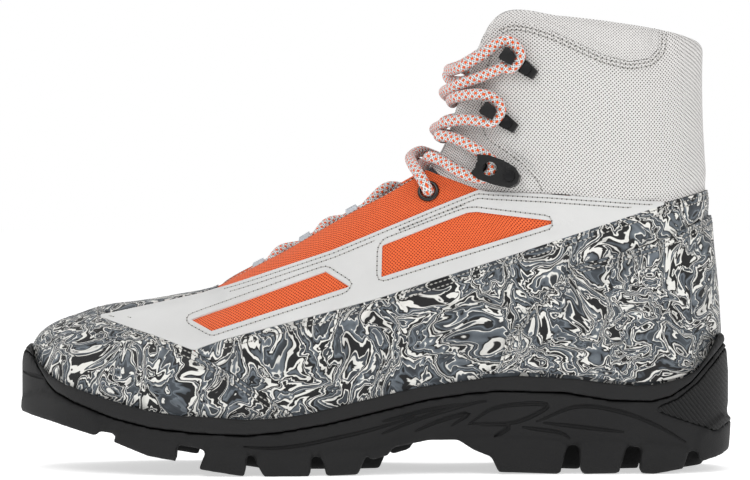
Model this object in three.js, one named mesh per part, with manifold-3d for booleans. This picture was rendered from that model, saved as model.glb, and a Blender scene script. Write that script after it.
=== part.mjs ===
import * as THREE from 'three';
import { mergeVertices } from 'three/addons/utils/BufferGeometryUtils.js';
import Module from 'manifold-3d';

// A laced hiking boot for the left foot. Millimetres, X from toe to heel, outer side towards -Y, +Z up.

const wasm = await Module();
wasm.setup();

// ---------------------------------------------------------------- driving sizes

const bootLength = 306;            // toe of the sole to back of the sole
const bootHeight = 196;            // floor to the top of the collar
const bootWidth = 111;             // widest part of the outsole
const pattern = { length: 306, height: 196, width: 111 };   // the size the outlines below are drawn in

const clearance = 0.3;             // air between pieces that touch
const skinThickness = 1.6;         // outer panels
const midThickness = 1.0;          // stiffeners and the facing underlayer
const liningThickness = 1.6;
const overlayThickness = 1.1;      // leather and wrap laid over the panels
const collarPadding = 5.5;         // extra foam at the fullest part of the collar
const tuck = 2;                    // how far the upper reaches down inside the sole
const boardThickness = 1.8;
const footbedThickness = 4.5;
const footbedGap = 0.6;
const middleLine = 1.2;            // the sole's middle lies this far towards the outer side of the drawn axis
const lugReach = 34;               // edge lugs reach this far in from the side of the sole
const shank = { from: 128, to: 222, width: 13, thickness: 1.2 };
const stabilizerThickness = 3.4;
const tongueWidth = 50;
const tongueThickness = 6.5;
const tongueDepth = 9;             // facing edge down to the middle of the tongue
const tongueCrown = 13;            // the tongue's sides lie this much lower than its middle

const gx = (x) => (x * bootLength) / pattern.length;
const gy = (y) => (y * bootWidth) / pattern.width;
const gz = (z) => (z * bootHeight) / pattern.height;

// ---------------------------------------------------------------- solids

function toSolid(geometry) {
  const bare = geometry.index ? geometry.toNonIndexed() : geometry.clone();
  bare.deleteAttribute('normal');
  bare.deleteAttribute('uv');
  const merged = mergeVertices(bare, 1e-4);
  const triangles = [];
  const index = merged.index.array;
  for (let i = 0; i < index.length; i += 3) {
    const [a, b, c] = [index[i], index[i + 1], index[i + 2]];
    if (a !== b && b !== c && c !== a) triangles.push(a, b, c);
  }
  return new wasm.Manifold(new wasm.Mesh({
    numProp: 3,
    vertProperties: new Float32Array(merged.attributes.position.array),
    triVerts: new Uint32Array(triangles),
  }));
}

function toGeometry(solid) {
  const mesh = solid.getMesh();
  const geometry = new THREE.BufferGeometry();
  geometry.setAttribute('position', new THREE.BufferAttribute(new Float32Array(mesh.vertProperties), 3));
  geometry.setIndex(new THREE.BufferAttribute(new Uint32Array(mesh.triVerts), 1));
  geometry.computeVertexNormals();
  return geometry;
}

// Layers of the upper, as offsets from the skin.
const skinBack = -skinThickness;
const midFront = skinBack - clearance;
const midBack = midFront - midThickness;
const liningFront = midBack - clearance;
const liningBack = liningFront - liningThickness;
const overlayBack = clearance;
const overlayFront = overlayBack + overlayThickness;

// ---------------------------------------------------------------- the skin

// One rib per row, from the feather line, where the upper meets the sole, to the top line, which is
// the ridge of the toe, then the edge of the throat, then the collar. Rib 0 is the middle of the toe
// and rib 16 the middle of the heel. turn is the way out in plan, from toe (0) round to heel (180).
const stations = [
  // feather x, outer y, inner y, z,  top x, half gap, z,  turn, top turn, face, tilt,  rise, bulge, roof, drop, centre y
  [5.8, 6, 6, 52.7, 46.5, 0, 69.9, 0, 0, 0, 90, 9.8, -3.2, 22.5, 2.4, 6],
  [12, -18, 27, 43.3, 52, 0, 70.4, 40, 26, 26, 90, 16, 0.6, 24, 1.8, 5.5],
  [25, -33, 39, 36.7, 60, 0, 71.6, 60, 46, 46, 90, 20, 1.8, 26, 1.4, 5],
  [45, -43.5, 46, 30.5, 70, 0, 73.6, 74, 64, 64, 90, 24, 2.4, 28, 1.2, 4],
  [75, -50, 50, 25.4, 84, 0, 76.8, 86, 80, 80, 90, 28, 2.5, 27, 1.4, 3],
  [93, -51.5, 49.4, 24, 93, 11, 82.4, 90, 88, 88, 82, 30, 2.2, 20, 3, 2],
  [115, -50.5, 45.5, 24.8, 115, 15, 94.3, 92, 90, 90, 71, 32, 1, 16, 6, 1],
  [140, -47.5, 38.5, 30, 140, 17, 109.2, 92, 91, 88, 57, 34, 0, 13, 10, 0],
  [163, -43.3, 33.3, 35.2, 163, 18, 122, 92, 96, 84, 42, 36, -0.5, 11, 16, 0],
  [185, -40, 31.2, 39, 180.5, 18.5, 135.5, 91, 110, 70, 30, 38, -1, 12, 25, 0],
  [203, -38, 31.5, 41.3, 190.3, 19, 163, 90, 124, 52, 10, 40, -1, 15, 36, 0],
  [220, -37, 33, 41.5, 205, 21, 194.5, 90, 116, 55, 0, 40, -1, 12, 46, 0],
  [240, -36.5, 34.8, 40.2, 232, 30, 194.3, 90, 98, 84, 0, 38, -0.5, 3, 46, 0],
  [262, -37, 35.8, 37.7, 260, 32.5, 191, 95, 92, 92, 0, 36, 0.5, -1, 48, 0],
  [283, -31, 30, 40.2, 280, 25, 187.6, 124, 122, 122, 0, 32, 1, -2, 50, 0],
  [295.5, -17.5, 17, 50, 290.5, 12.5, 184.6, 152, 154, 154, 0, 30, 0.5, -2.4, 52, 0],
  [300.2, 0, 0, 58.3, 292.9, 0, 183, 180, 180, 180, 0, 29.7, 0, -2.4, 53, 0],
];
const heelRib = stations.length - 1;
const ridgeEnd = 4;                // the throat opens after this rib
const oddColumns = [1, 2, 5, 7, 8, 9]; // these change sign across the middle of the toe and of the heel

function stationAt(u) {
  const rib = Math.min(Math.floor(u), heelRib - 1);
  const f = u - rib;
  const fetch = (k, c) => {
    const odd = oddColumns.includes(c);
    if (k < 0) return odd ? 2 * stations[0][c] - stations[1][c] : stations[1][c];
    if (k > heelRib) return odd ? 2 * stations[heelRib][c] - stations[heelRib - 1][c] : stations[heelRib - 1][c];
    return stations[k][c];
  };
  return stations[0].map((_, c) => {
    const [a, b, d, e] = [fetch(rib - 1, c), fetch(rib, c), fetch(rib + 1, c), fetch(rib + 2, c)];
    return b + 0.5 * f * (d - a + f * (2 * a - 5 * b + 4 * d - e + f * (3 * (b - d) + e - a)));
  });
}

// s runs once round the boot: 0 at the toe, heelRib at the heel, outer side first.
function onRing(s) {
  const turned = THREE.MathUtils.euclideanModulo(s + heelRib, 2 * heelRib) - heelRib;
  return { u: Math.abs(turned), side: turned >= 0 ? -1 : 1 };
}

// A point of the upper: s round the boot, v from feather line (0) to top line (1), offset out of the skin.
function skinPoint(s, v, offset) {
  const { u, side } = onRing(s);
  const [fx, outerY, innerY, fz, tx, gap, tz,
    turn, topTurn, face, tilt, rise, bulge, roof, drop, middle] = stationAt(u);
  const out = THREE.MathUtils.degToRad(turn);
  const topOut = THREE.MathUtils.degToRad(topTurn);
  const faceTurn = THREE.MathUtils.degToRad(face);
  const lean = THREE.MathUtils.degToRad(u <= ridgeEnd ? 90 : Math.min(tilt, 90));
  const halfGap = u <= ridgeEnd ? 0 : Math.max(gap, 0);
  const footOut = new THREE.Vector3(-Math.cos(out), side * Math.sin(out), 0);
  const headOut = new THREE.Vector3(-Math.cos(topOut), side * Math.sin(topOut), 0);
  const faceOut = new THREE.Vector3(-Math.cos(faceTurn), side * Math.sin(faceTurn), 0);
  const foot = new THREE.Vector3(gx(fx), gy(side < 0 ? outerY : innerY), gz(fz));
  const head = new THREE.Vector3(gx(tx), gy(middle + side * halfGap), gz(tz));
  const up = new THREE.Vector3(0, 0, 1);
  const headNormal = faceOut.clone().multiplyScalar(Math.cos(lean)).addScaledVector(up, Math.sin(lean));
  if (v < 0) return foot.addScaledVector(up, v).addScaledVector(footOut, offset);
  const blend = v * v * (3 - 2 * v);
  const normal = footOut.clone().multiplyScalar(1 - blend).addScaledVector(headNormal, blend).normalize();
  const low = foot.clone().addScaledVector(footOut, bulge).addScaledVector(up, gz(rise));
  const high = head.clone().addScaledVector(headOut, roof).addScaledVector(up, -gz(drop));
  return new THREE.CubicBezierCurve3(foot, low, high, head).getPoint(v).addScaledVector(normal, offset);
}

// How much foam there is behind the skin: none low down, full just under the collar.
function padding(s, v) {
  const { u } = onRing(s);
  const round = THREE.MathUtils.smoothstep(u, 9, 12.5);
  const high = THREE.MathUtils.smoothstep(v, 0.45, 0.72) * (1 - 0.55 * THREE.MathUtils.smoothstep(v, 0.86, 1));
  return collarPadding * round * high;
}

// Every layer is cut on the same grid of ribs and rows, so that their facets lie parallel.
const ribStep = 2 / 3;
const rowStep = 1 / 7;

function gridLines(from, to, step) {
  const lines = [from];
  for (let k = Math.ceil(from / step + 0.2); k * step < to - 0.2 * step; k++) lines.push(k * step);
  return [...lines, to];
}

function pushQuad(positions, a, b, c, d) {
  for (const p of [a, b, c, a, c, d]) positions.push(p.x, p.y, p.z);
}

function fromPositions(positions) {
  const geometry = new THREE.BufferGeometry();
  geometry.setAttribute('position', new THREE.Float32BufferAttribute(positions, 3));
  return toSolid(geometry);
}

// A closed slab between two grids of points; the first is the outer face.
function slabBetween(out, back) {
  const positions = [];
  const [m, n] = [out.length - 1, out[0].length - 1];
  for (let i = 0; i < m; i++) {
    for (let j = 0; j < n; j++) {
      pushQuad(positions, out[i][j], out[i + 1][j], out[i + 1][j + 1], out[i][j + 1]);
      pushQuad(positions, back[i][j], back[i][j + 1], back[i + 1][j + 1], back[i + 1][j]);
    }
    pushQuad(positions, out[i][0], back[i][0], back[i + 1][0], out[i + 1][0]);
    pushQuad(positions, out[i][n], out[i + 1][n], back[i + 1][n], back[i][n]);
  }
  for (let j = 0; j < n; j++) {
    pushQuad(positions, out[0][j], out[0][j + 1], back[0][j + 1], back[0][j]);
    pushQuad(positions, out[m][j], back[m][j], back[m][j + 1], out[m][j + 1]);
  }
  return fromPositions(positions);
}

// A closed sheet between two offsets, on part of the ring.
function sheet(from, to, low, high, outer, inner) {
  const ribs = gridLines(from, to, ribStep);
  const rows = low < 0 ? [low, ...gridLines(0, high, rowStep)] : gridLines(low, high, rowStep);
  const cells = (offset) => ribs.map((s) => rows.map((v) => skinPoint(s, v, offset(s, Math.max(v, 0)))));
  return slabBetween(cells(outer), cells(inner));
}

// The whole inside of the skin at an offset, down to a flat bottom below the floor, with a lid.
function body(offset) {
  const count = (2 * heelRib) / ribStep;
  const levels = [-1, ...gridLines(0, 1, rowStep)];
  const last = levels.length - 1;
  const grid = Array.from({ length: count }, (_, i) => levels.map((v) => {
    const s = i * ribStep;
    const foam = offset < skinBack ? padding(s, Math.max(v, 0)) : 0;
    const point = skinPoint(s, Math.max(v, 0), offset - foam);
    if (v < 0) point.z = -10;
    return point;
  }));
  const positions = [];
  for (let i = 0; i < count; i++) {
    const k = (i + 1) % count;
    for (let j = 0; j < last; j++) pushQuad(positions, grid[i][j], grid[k][j], grid[k][j + 1], grid[i][j + 1]);
  }
  for (let i = 0; i < count / 2; i++) {
    const [a, b] = [(count - i) % count, count - i - 1];
    pushQuad(positions, grid[i][0], grid[a][0], grid[b][0], grid[i + 1][0]);
    pushQuad(positions, grid[i][last], grid[i + 1][last], grid[b][last], grid[a][last]);
  }
  return fromPositions(positions);
}

// ---------------------------------------------------------------- cutters

// A block with the given outline in the side view (x, z), between two widths.
function sideBlock(outline, from = -gy(90), to = gy(90)) {
  const shape = new THREE.Shape(outline.map(([x, z]) => new THREE.Vector2(gx(x), gz(z))));
  const geometry = new THREE.ExtrudeGeometry(shape, { depth: to - from, bevelEnabled: false });
  geometry.rotateX(Math.PI / 2);
  geometry.translate(0, to, 0);
  return toSolid(geometry);
}

// A block with the given outline in plan (x, y), between two heights.
function planBlock(points, from, to) {
  const shape = new THREE.Shape(points);
  const geometry = new THREE.ExtrudeGeometry(shape, { depth: to - from, bevelEnabled: false });
  geometry.translate(0, 0, from);
  return toSolid(geometry);
}

const shifted = (points, dx, dz) => points.map(([x, z]) => [x + dx, z + dz]);
const reversed = (points) => [...points].reverse();
const joint = clearance / 2 + 0.06;          // each side of a seam steps back this far
const sides = [['outer', -1], ['inner', 1]];
const sideSheet = (side, from, to, ...rest) => (side < 0 ? sheet(from, to, ...rest) : sheet(-to, -from, ...rest));
const flat = (offset) => () => offset;

const ridgeStart = 0.012;
const heelSeam = heelRib - 0.012;
const edge = 0.998;

// ---------------------------------------------------------------- seam lines, in the side view

const toeSeam = [[35, 100], [37.9, 66.4], [58, 59.5], [76.3, 52.4], [95.8, 41.1], [117.2, 27], [128, 15]];
const sideSeam = [[76.3, 52.4], [89.4, 57], [120, 65], [153.6, 74.1], [215, 94], [276.7, 114.9], [293, 119.1], [330, 128]];
const strapLine = [[36, 65.6], [40.5, 66.4], [79.1, 74.6], [85.5, 76.7], [134.4, 93.7], [197.8, 120.4], [201, 119.7],
  [225, 118.7], [276.5, 115.2]];
const instepCorner = [175, 128.6];
const vampBack = 236;
const collarSeam = [[180, 184.4], [199, 184.4], [205.1, 189.4], [211.1, 191.8], [219.2, 190.7], [229.5, 187.3],
  [240.6, 182.1], [250.9, 177.4], [261.2, 174.9], [269.4, 176.1], [273.4, 180], [274.1, 188], [274.1, 215]];
const anklePanelFront = [[223.1, 119.1], [221.6, 123], [215.8, 129.9], [207.2, 136.3], [201.2, 139.7], [198.2, 144],
  [196.9, 154.7], [199.1, 171.4], [203.8, 184.4]];
const wrapLine = [[204, 30], [205.5, 45], [208.9, 58.3], [219.2, 70.7], [229.5, 80.6], [238, 88.2], [256.1, 93.4],
  [271.5, 97.7], [297.2, 109.3], [330, 123]];
const frontWindow = [[74.8, 64.3], [132.2, 85.3], [142.5, 79.1], [83.8, 60]];
const backWindow = [[155.8, 83.1], [156.2, 96.4], [192.6, 110.6], [196.5, 111], [231.2, 107.1]];

const partOf = (line, from, to) => line.slice(from, to);

// ---------------------------------------------------------------- the upper

function toeCap() {
  const zone = [[-20, 5], [-20, 100], ...shifted(toeSeam, -joint, -joint), [128, 5]];
  return sheet(-11 * ribStep, 11 * ribStep, -tuck, 0.96, flat(0), flat(skinBack)).intersect(sideBlock(zone));
}

function vampMesh(side) {
  const front = shifted(partOf(toeSeam, 0, 3), joint, joint);
  const bottom = shifted(partOf(sideSeam, 0, 5), 0.1, joint);
  const zone = [...front, ...bottom, [vampBack, 100.9], [vampBack, 118 - joint],
    ...shifted([[225, 118.7], [201, 119.7], [197.8, 120.4], instepCorner], 0, -joint), [160, 150]];
  return sideSheet(side, ridgeStart, 19 * ribStep, 0, edge, flat(0), flat(skinBack)).intersect(sideBlock(zone));
}

function sidePanel(side) {
  const zone = [...reversed(shifted(partOf(toeSeam, 3, 7), 2 * joint, 0)), ...shifted(partOf(sideSeam, 1, 8), 0, -joint),
    [330, 5], [129, 5]];
  return sideSheet(side, 4 * ribStep, heelSeam, -tuck, 5 * rowStep, flat(0), flat(skinBack)).intersect(sideBlock(zone));
}

function anklePanel(side) {
  const zone = [...anklePanelFront, ...shifted(partOf(collarSeam, 2, 13), 0, -joint),
    [330, 215], ...reversed(shifted(partOf(sideSeam, 5, 8), 0, joint)), [vampBack + joint, 101.4],
    [vampBack + joint, 118.4]];
  return sideSheet(side, 8, heelSeam, rowStep, edge, flat(0), flat(skinBack)).intersect(sideBlock(zone));
}

function collarPanel(side) {
  const zone = [...shifted(collarSeam, -0.1, joint), [180, 215]];
  return sideSheet(side, 14 * ribStep, 22 * ribStep, 4 * rowStep, edge, flat(0), flat(skinBack)).intersect(sideBlock(zone));
}

function facing(side) {
  const zone = [[150, 215], [176.6, 131.4], [187, 119], [228, 112], [228, 215]];
  return sideSheet(side, 8, 20 * ribStep, rowStep, edge, flat(midFront), flat(midBack)).intersect(sideBlock(zone));
}

function strap(side) {
  const zone = [...strapLine, [277, 114.6], ...reversed(partOf(sideSeam, 0, 5)), [60, 58], [36, 64.8]];
  const blank = sideSheet(side, ridgeStart, 22 * ribStep, 0, edge, flat(overlayFront), flat(overlayBack));
  return blank.intersect(sideBlock(zone)).subtract(sideBlock(frontWindow)).subtract(sideBlock(backWindow));
}

function vampStrip() {
  const zone = [[37.6, 90], [38.6, 67.2], ...shifted(partOf(strapLine, 1, 4), 0, 2 * joint), [89, 90]];
  const half = (side) => sideSheet(side, 0.001, 8 * ribStep, 3 * rowStep, 1, flat(overlayFront), flat(overlayBack));
  return half(-1).add(half(1)).intersect(sideBlock(zone));
}

function heelWrap() {
  const zone = [...partOf(wrapLine, 1, 10), [330, 60], ...reversed(shifted(partOf(featherLine, 17, 29), 0, 0.7))];
  return sheet(8, 2 * heelRib - 8, 0.015, 5 * rowStep, flat(overlayFront), flat(overlayBack))
    .intersect(sideBlock(zone));
}

const toePuff = () => sheet(-7 * ribStep, 7 * ribStep, rowStep, 5 * rowStep, flat(midFront), flat(midBack));
const heelCounter = () => sheet(12, 2 * heelRib - 12, rowStep, 4 * rowStep, flat(midFront), flat(midBack));

function collarFoam(side) {
  const zone = [[228.4, 90], [228.4, 215], [330, 215], [330, 90]];
  const back = (s, v) => midBack - padding(s, v);
  return sideSheet(side, 16 * ribStep, heelSeam, 4 * rowStep + 0.02, 0.975, flat(midFront), back).intersect(sideBlock(zone));
}

function lining(side) {
  const front = (s, v) => liningFront - padding(s, v);
  const back = (s, v) => liningBack - padding(s, v);
  return sideSheet(side, ridgeStart, heelSeam, -tuck, edge, front, back);
}

// ---------------------------------------------------------------- the sole

const boardTop = [[-5, 52], [6, 46], [12, 40], [21, 35], [34, 30.8], [47, 27], [60, 24], [80, 22], [100, 20.6], [120, 22.3],
  [140, 27], [160, 31.4], [180, 35], [200, 37.6], [220, 38.4], [240, 37], [260, 34.6], [280, 34.6], [315, 35]];
const featherLine = [[5.2, 53.4], [8, 47.1], [14.4, 41.6], [20.8, 38.1], [33.6, 33.9], [46.5, 30], [59.4, 27], [72, 25.4],
  [85.1, 24.9], [97.9, 23.9], [110.8, 24.4], [123.6, 26.1], [136.5, 29.1], [149.4, 32.1], [162.2, 35.1], [175.1, 37.7],
  [187.9, 39.4], [200.8, 41.1], [213.6, 41.8], [226.5, 41.1], [239.4, 40.3], [252.2, 38.6], [265, 37.5], [273.2, 38.1],
  [284.8, 40.7], [290.4, 43.9], [293.4, 47.6], [296, 51.9], [300.2, 58.6], [302, 58.4]];
const sidewallLine = [[2.5, 51.4], [5.8, 49.9], [9.2, 44.6], [13.3, 38.1], [16.9, 34.3], [25.5, 30], [42.2, 24], [58.5, 20.1],
  [78.6, 18], [98.8, 17.1], [113.8, 18.6], [133.5, 21.9], [149.8, 25.7], [164.4, 29.1], [175.5, 31.7], [195.2, 34.5],
  [205, 35.1], [232.9, 34.7], [240, 33.4], [253, 31.3], [271, 30.9], [278.8, 33], [287.4, 38.6], [295.9, 48], [302.8, 55.4]];
const treadRoof = [[1.8, 25], [15.9, 23], [35, 18.5], [57, 15.5], [80, 11.5], [105, 8.5], [130, 8.2], [150, 9], [160, 11.5],
  [176, 14.6], [190, 14.6], [200, 11.6], [212, 11], [232, 12.4], [260, 12], [287, 9.6], [301, 9]];
const toeOutline = [[1.2, 30.9], [0, 34.7], [0.3, 38.1], [1.2, 41.6], [0.8, 43.7], [1.3, 46.3]];
const heelOutline = [[305.5, 22], [304, 24.8], [304.2, 27], [305.8, 30], [306, 40], [304.4, 43.6], [303.8, 50]];

const solePlan = {
  outer: [[0, 6], [3.5, -10], [12, -23.5], [25, -37], [45, -48], [75, -55.4], [103, -56.8], [130, -54], [165, -46.6],
    [200, -42], [235, -41.2], [265, -41.8], [288, -35.5], [301.5, -21]],
  inner: [[306, 0], [301.5, 20.5], [288, 34.6], [262, 40.6], [230, 39.2], [195, 36.2], [165, 38.2], [130, 45.2],
    [100, 53.4], [75, 54.2], [45, 50.4], [22, 41.6], [9, 30.5], [2.2, 19]],
};

function soleOutline(inset = 0) {
  const corners = [...solePlan.outer, ...solePlan.inner].map(([x, y]) => new THREE.Vector3(gx(x), gy(y), 0));
  const curve = new THREE.CatmullRomCurve3(corners, true, 'centripetal');
  return curve.getPoints(48).slice(0, -1).map((point, i, all) => {
    const [before, after] = [all[(i + all.length - 1) % all.length], all[(i + 1) % all.length]];
    const along = after.clone().sub(before).normalize();
    return new THREE.Vector2(point.x - along.y * inset, point.y + along.x * inset);
  });
}

const lugs = [
  // side-view outlines of the tread blocks, toe to heel
  { shape: [[1.4, 31], [0.8, 25.3], [1.8, 24.6], [15.9, 21.4], [34.9, 16.3], [37.5, 21.4], [30, 28], [10, 34]], span: 'all' },
  { shape: [[42.2, 14.1], [57.2, 8.3], [68.8, 6.4], [69.5, 16], [44, 18]], span: 'row' },
  { shape: [[78.6, 3], [97.9, 0], [99.2, 14], [82.9, 16]], span: 'row' },
  { shape: [[102.2, 7.3], [106.1, 0], [125.8, 0], [126.2, 14], [104.8, 14]], span: 'row' },
  { shape: [[130.5, 8.1], [132.6, 0], [145.9, 0.4], [149.8, 9.4], [149, 14], [130.5, 14]], span: 'row' },
  { shape: [[150.5, 9], [151.4, 6.4], [158.8, 8.6], [160.5, 11.6], [170, 16], [150.5, 16]], span: 'row' },
  { shape: [[188.4, 14.6], [195, 10.3], [202.5, 7.3], [205.5, 0.9], [231.6, 0], [234.6, 12], [232, 18], [190, 18]], span: 'row' },
  { shape: [[239.8, 11.7], [240.6, 0], [256.5, 0.4], [259.9, 11.6], [258, 17], [240, 17]], span: 'row' },
  { shape: [[266.4, 12.4], [265.5, 0.4], [271.5, 0], [284, 2.1], [286.5, 9.4], [284, 16], [267, 16]], span: 'row' },
  { shape: [[290.4, 9.4], [291.6, 4.7], [300.6, 6.9], [304.7, 9], [306, 22], [302, 24], [291, 16]], span: 'all' },
];
const centreShift = 9;             // the middle row of lugs sits this far behind the edge rows
const centreHalf = 15;

const soleSpace = () => body(clearance).intersect(sideBlock([...shifted(boardTop, 0, -boardThickness - clearance),
  [315, 260], [-5, 260]]));

function shankBar(extra) {
  const { from, to, width, thickness } = shank;
  const top = partOf(boardTop, 9, 15).map(([x, z]) => [x, z - boardThickness - clearance]);
  const line = [[from, 23.4 - boardThickness], ...top.filter(([x]) => x > from + 2 && x < to - 2), [to, 38.2 - boardThickness - 0.3]];
  const lower = reversed(line).map(([x, z]) => [x, z - thickness]);
  return sideBlock([...line, ...lower], -width / 2 - extra, width / 2 + extra);
}

function stabilizerZone(grow) {
  const outline = [[270.9 - grow, 27.4], [276, 29.4 + grow], [281.8, 31.7 + grow], [290.4, 38.4 + grow],
    [297.7, 46.4 + grow], [303, 52.6 + grow], [320, 60], [320, 20], [304.7, 21 - grow], [298.5, 17.4 - grow]];
  return sideBlock(outline);
}

const rubberCore = (inset) => planBlock(soleOutline(inset), -5, gz(90));

const lowerSole = (space) => {
  const profile = sideBlock([...toeOutline, ...shifted(sidewallLine, 0, -joint), ...reversed(heelOutline),
    ...reversed(treadRoof)]);
  const rows = [[-gy(70), -gy(57) + gy(lugReach)], [-gy(centreHalf), gy(centreHalf)], [gy(57) - gy(lugReach), gy(70)]];
  let tread = profile;
  for (const { shape, span } of lugs) {
    if (span === 'all') tread = tread.add(sideBlock(shape));
    else {
      rows.forEach(([from, to], row) => {
        tread = tread.add(sideBlock(row === 1 ? shifted(shape, centreShift, 0.4) : shape, from, to));
      });
    }
  }
  return tread.intersect(rubberCore(0)).subtract(space);
};

function outsole(space) {
  const ring = stabilizerZone(clearance).subtract(rubberCore(stabilizerThickness + clearance));
  return lowerSole(space).subtract(ring).subtract(shankBar(clearance));
}

function heelStabilizer(space) {
  return lowerSole(space).intersect(stabilizerZone(0)).subtract(rubberCore(stabilizerThickness));
}

function midsole(space) {
  const profile = sideBlock([...shifted(sidewallLine, 0, joint), ...reversed(featherLine)]);
  return profile.intersect(rubberCore(0.8)).subtract(space).subtract(shankBar(clearance));
}

function insoleBoard() {
  const slab = sideBlock([...boardTop, ...reversed(shifted(boardTop, 0, -boardThickness))]);
  return slab.intersect(body(-clearance));
}

function footbed() {
  const slab = sideBlock([...shifted(boardTop, 0, footbedThickness + clearance), ...reversed(shifted(boardTop, 0, clearance))]);
  return slab.intersect(body(liningBack - footbedGap));
}

// ---------------------------------------------------------------- hardware

const eyelet = { x: 176, z: 119.4, hole: 3.1, barrel: 3.7, flange: 4.9, rim: 0.8, lift: 0.9 };
const lock = { x: 210.8, z: 125.9, rise: 20, plate: 1.4, base: 1, room: 5.4, post: 2.1, postAt: 13.4, hole: 3.1, holeAt: 8.9 };
const hooks = [
  { name: 'hook_lower', x: 209.8, z: 148.5, rise: 34 },
  { name: 'hook_upper', x: 218.2, z: 171.4, rise: 36 },
];
const hook = { base: 1.1, room: 5.3, post: 2.3, postAt: 9.4, cap: 1.6, boss: 3.2, lift: 0.7 };
const rivet = { shank: 1.5, head: 3.3, headHeight: 0.8 };

// The skin at a place in the side view, found by closing in on it, with its outward normal.
function skinAt(x, z, side) {
  let [s, v] = [8, 0.5];
  let best = Infinity;
  for (let i = 0.25; i < heelRib; i += 0.5) {
    for (let j = 0.04; j < 1; j += 0.08) {
      const p = skinPoint(-side * i, j, 0);
      const miss = (p.x - gx(x)) ** 2 + (p.z - gz(z)) ** 2;
      if (miss < best) [best, s, v] = [miss, i, j];
    }
  }
  const small = 0.002;
  const slopes = () => {
    const at = skinPoint(-side * s, v, 0);
    const ds = skinPoint(-side * (s + small), v, 0).sub(at).divideScalar(small);
    const dv = skinPoint(-side * s, v + small, 0).sub(at).divideScalar(small);
    return { at, ds, dv };
  };
  for (let round = 0; round < 12; round++) {
    const { at, ds, dv } = slopes();
    const [ex, ez] = [gx(x) - at.x, gz(z) - at.z];
    const turn = ds.x * dv.z - ds.z * dv.x;
    s += (ex * dv.z - ez * dv.x) / turn;
    v += (ds.x * ez - ds.z * ex) / turn;
  }
  const { at, ds, dv } = slopes();
  const normal = new THREE.Vector3().crossVectors(ds, dv).normalize();
  if (normal.y * side < 0) normal.negate();
  return { at, normal };
}

// Local frame on the skin: X towards the laces at a rising angle, Z out of the boot.
function seat(x, z, side, rise, lift) {
  const { at, normal } = skinAt(x, z, side);
  const angle = THREE.MathUtils.degToRad(rise);
  const front = new THREE.Vector3(-Math.cos(angle), 0, Math.sin(angle));
  front.addScaledVector(normal, -front.dot(normal)).normalize();
  const across = new THREE.Vector3().crossVectors(normal, front);
  const matrix = new THREE.Matrix4().makeBasis(front, across, normal);
  return { matrix: matrix.setPosition(at.addScaledVector(normal, lift)), up: across.z > 0 ? 1 : -1 };
}

function upright(shape, from, to) {
  const geometry = new THREE.ExtrudeGeometry(shape, { depth: to - from, bevelEnabled: false, curveSegments: 5 });
  geometry.translate(0, 0, from);
  return toSolid(geometry);
}

function pillar(radius, from, to, sides = 10, x = 0) {
  const geometry = new THREE.CylinderGeometry(radius, radius, to - from, sides);
  geometry.rotateX(Math.PI / 2);
  geometry.translate(x, 0, (from + to) / 2);
  return toSolid(geometry);
}

const outlineOf = (points, up) => new THREE.Shape(points.map(([a, b]) => new THREE.Vector2(a, b * up)));
const placed = (solid, matrix) => solid.transform(matrix.elements);

function eyeletRing() {
  const { hole, barrel, flange, rim, lift } = eyelet;
  const depth = liningBack - 2 * clearance - 0.3;
  const profile = [[hole, depth - rim], [flange, depth - rim], [flange, depth], [barrel, depth], [barrel, lift],
    [flange, lift], [flange - 0.5, lift + rim], [hole + 0.5, lift + rim + 0.2], [hole, lift + rim - 0.2],
    [hole, depth - rim]];
  const geometry = new THREE.LatheGeometry(profile.map(([r, y]) => new THREE.Vector2(r, y)), 16);
  geometry.rotateX(Math.PI / 2);
  return toSolid(geometry);
}

// The space that an eyelet's back flange needs behind the lining.
function eyeletSpace() {
  const depth = liningBack - 2 * clearance - 0.3;
  return pillar(eyelet.flange + clearance, depth - eyelet.rim - clearance, 0, 16);
}

function lockPlate(up) {
  const { base, room, plate, post, postAt, hole, holeAt } = lock;
  const tail = [[-4.3, -1.8], [-1.7, -4.6], [3.4, -5.4], [3.4, 5.2], [-0.7, 4.4], [-4.1, 1.6]];
  const face = [[-4.3, -1.8], [-1.7, -4.6], [4.2, -5.7], [12.4, -5.8], [16, -4.4], [15, -1.6], [15, 1.4], [16.2, 4],
    [11, 5.4], [5, 5.4], [-0.7, 4.4], [-4.1, 1.6]];
  const foot = [[-4.3, -1.8], [-1.7, -4.2], [14.6, -2.6], [15.4, 0], [14.6, 2.6], [-0.7, 4.2], [-4.1, 1.6]];
  const top = base + room;
  return upright(outlineOf(tail, up), 0, top + plate)
    .add(upright(outlineOf(foot, up), 0, base))
    .add(upright(outlineOf(face, up), top, top + plate))
    .add(pillar(post, 0.2, top + 0.2, 12, postAt))
    .subtract(pillar(hole, top - 0.5, top + plate + 1, 14, holeAt))
    .subtract(pillar(rivet.shank + clearance, -1, top + plate + 1));
}

function hookBody(up) {
  const { base, room, post, postAt, cap, boss } = hook;
  const foot = [[-4.4, -2.1], [2.1, -2.8], [postAt + 1.8, -2.2], [postAt + 1.8, 2.2], [2.1, 2.8], [-4.4, 2.1]];
  const wedge = [[-4.4, -2.1], [2.1, -3], [2.1, 3], [-4.4, 2.1]];
  const head = [[5.2, -2.3], [10.8, -3.1], [11.9, -2.4], [11.9, 2.4], [10.8, 3.1], [5.8, 2.1]];
  return upright(outlineOf(foot, up), 0, base)
    .add(upright(outlineOf(wedge, up), 0, boss))
    .add(upright(outlineOf(head, up), base + room, base + room + cap))
    .add(pillar(post, 0.2, base + room + 0.3, 12, postAt))
    .subtract(pillar(rivet.shank + clearance, -1, boss + 1));
}

// Head outside, shank through the panels, spread tail behind them.
function rivetPin(headAt, tailAt) {
  return pillar(rivet.shank, tailAt, headAt + 0.3).add(pillar(rivet.head - 1, headAt, headAt + rivet.headHeight));
}

// ---------------------------------------------------------------- tongue

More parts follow.
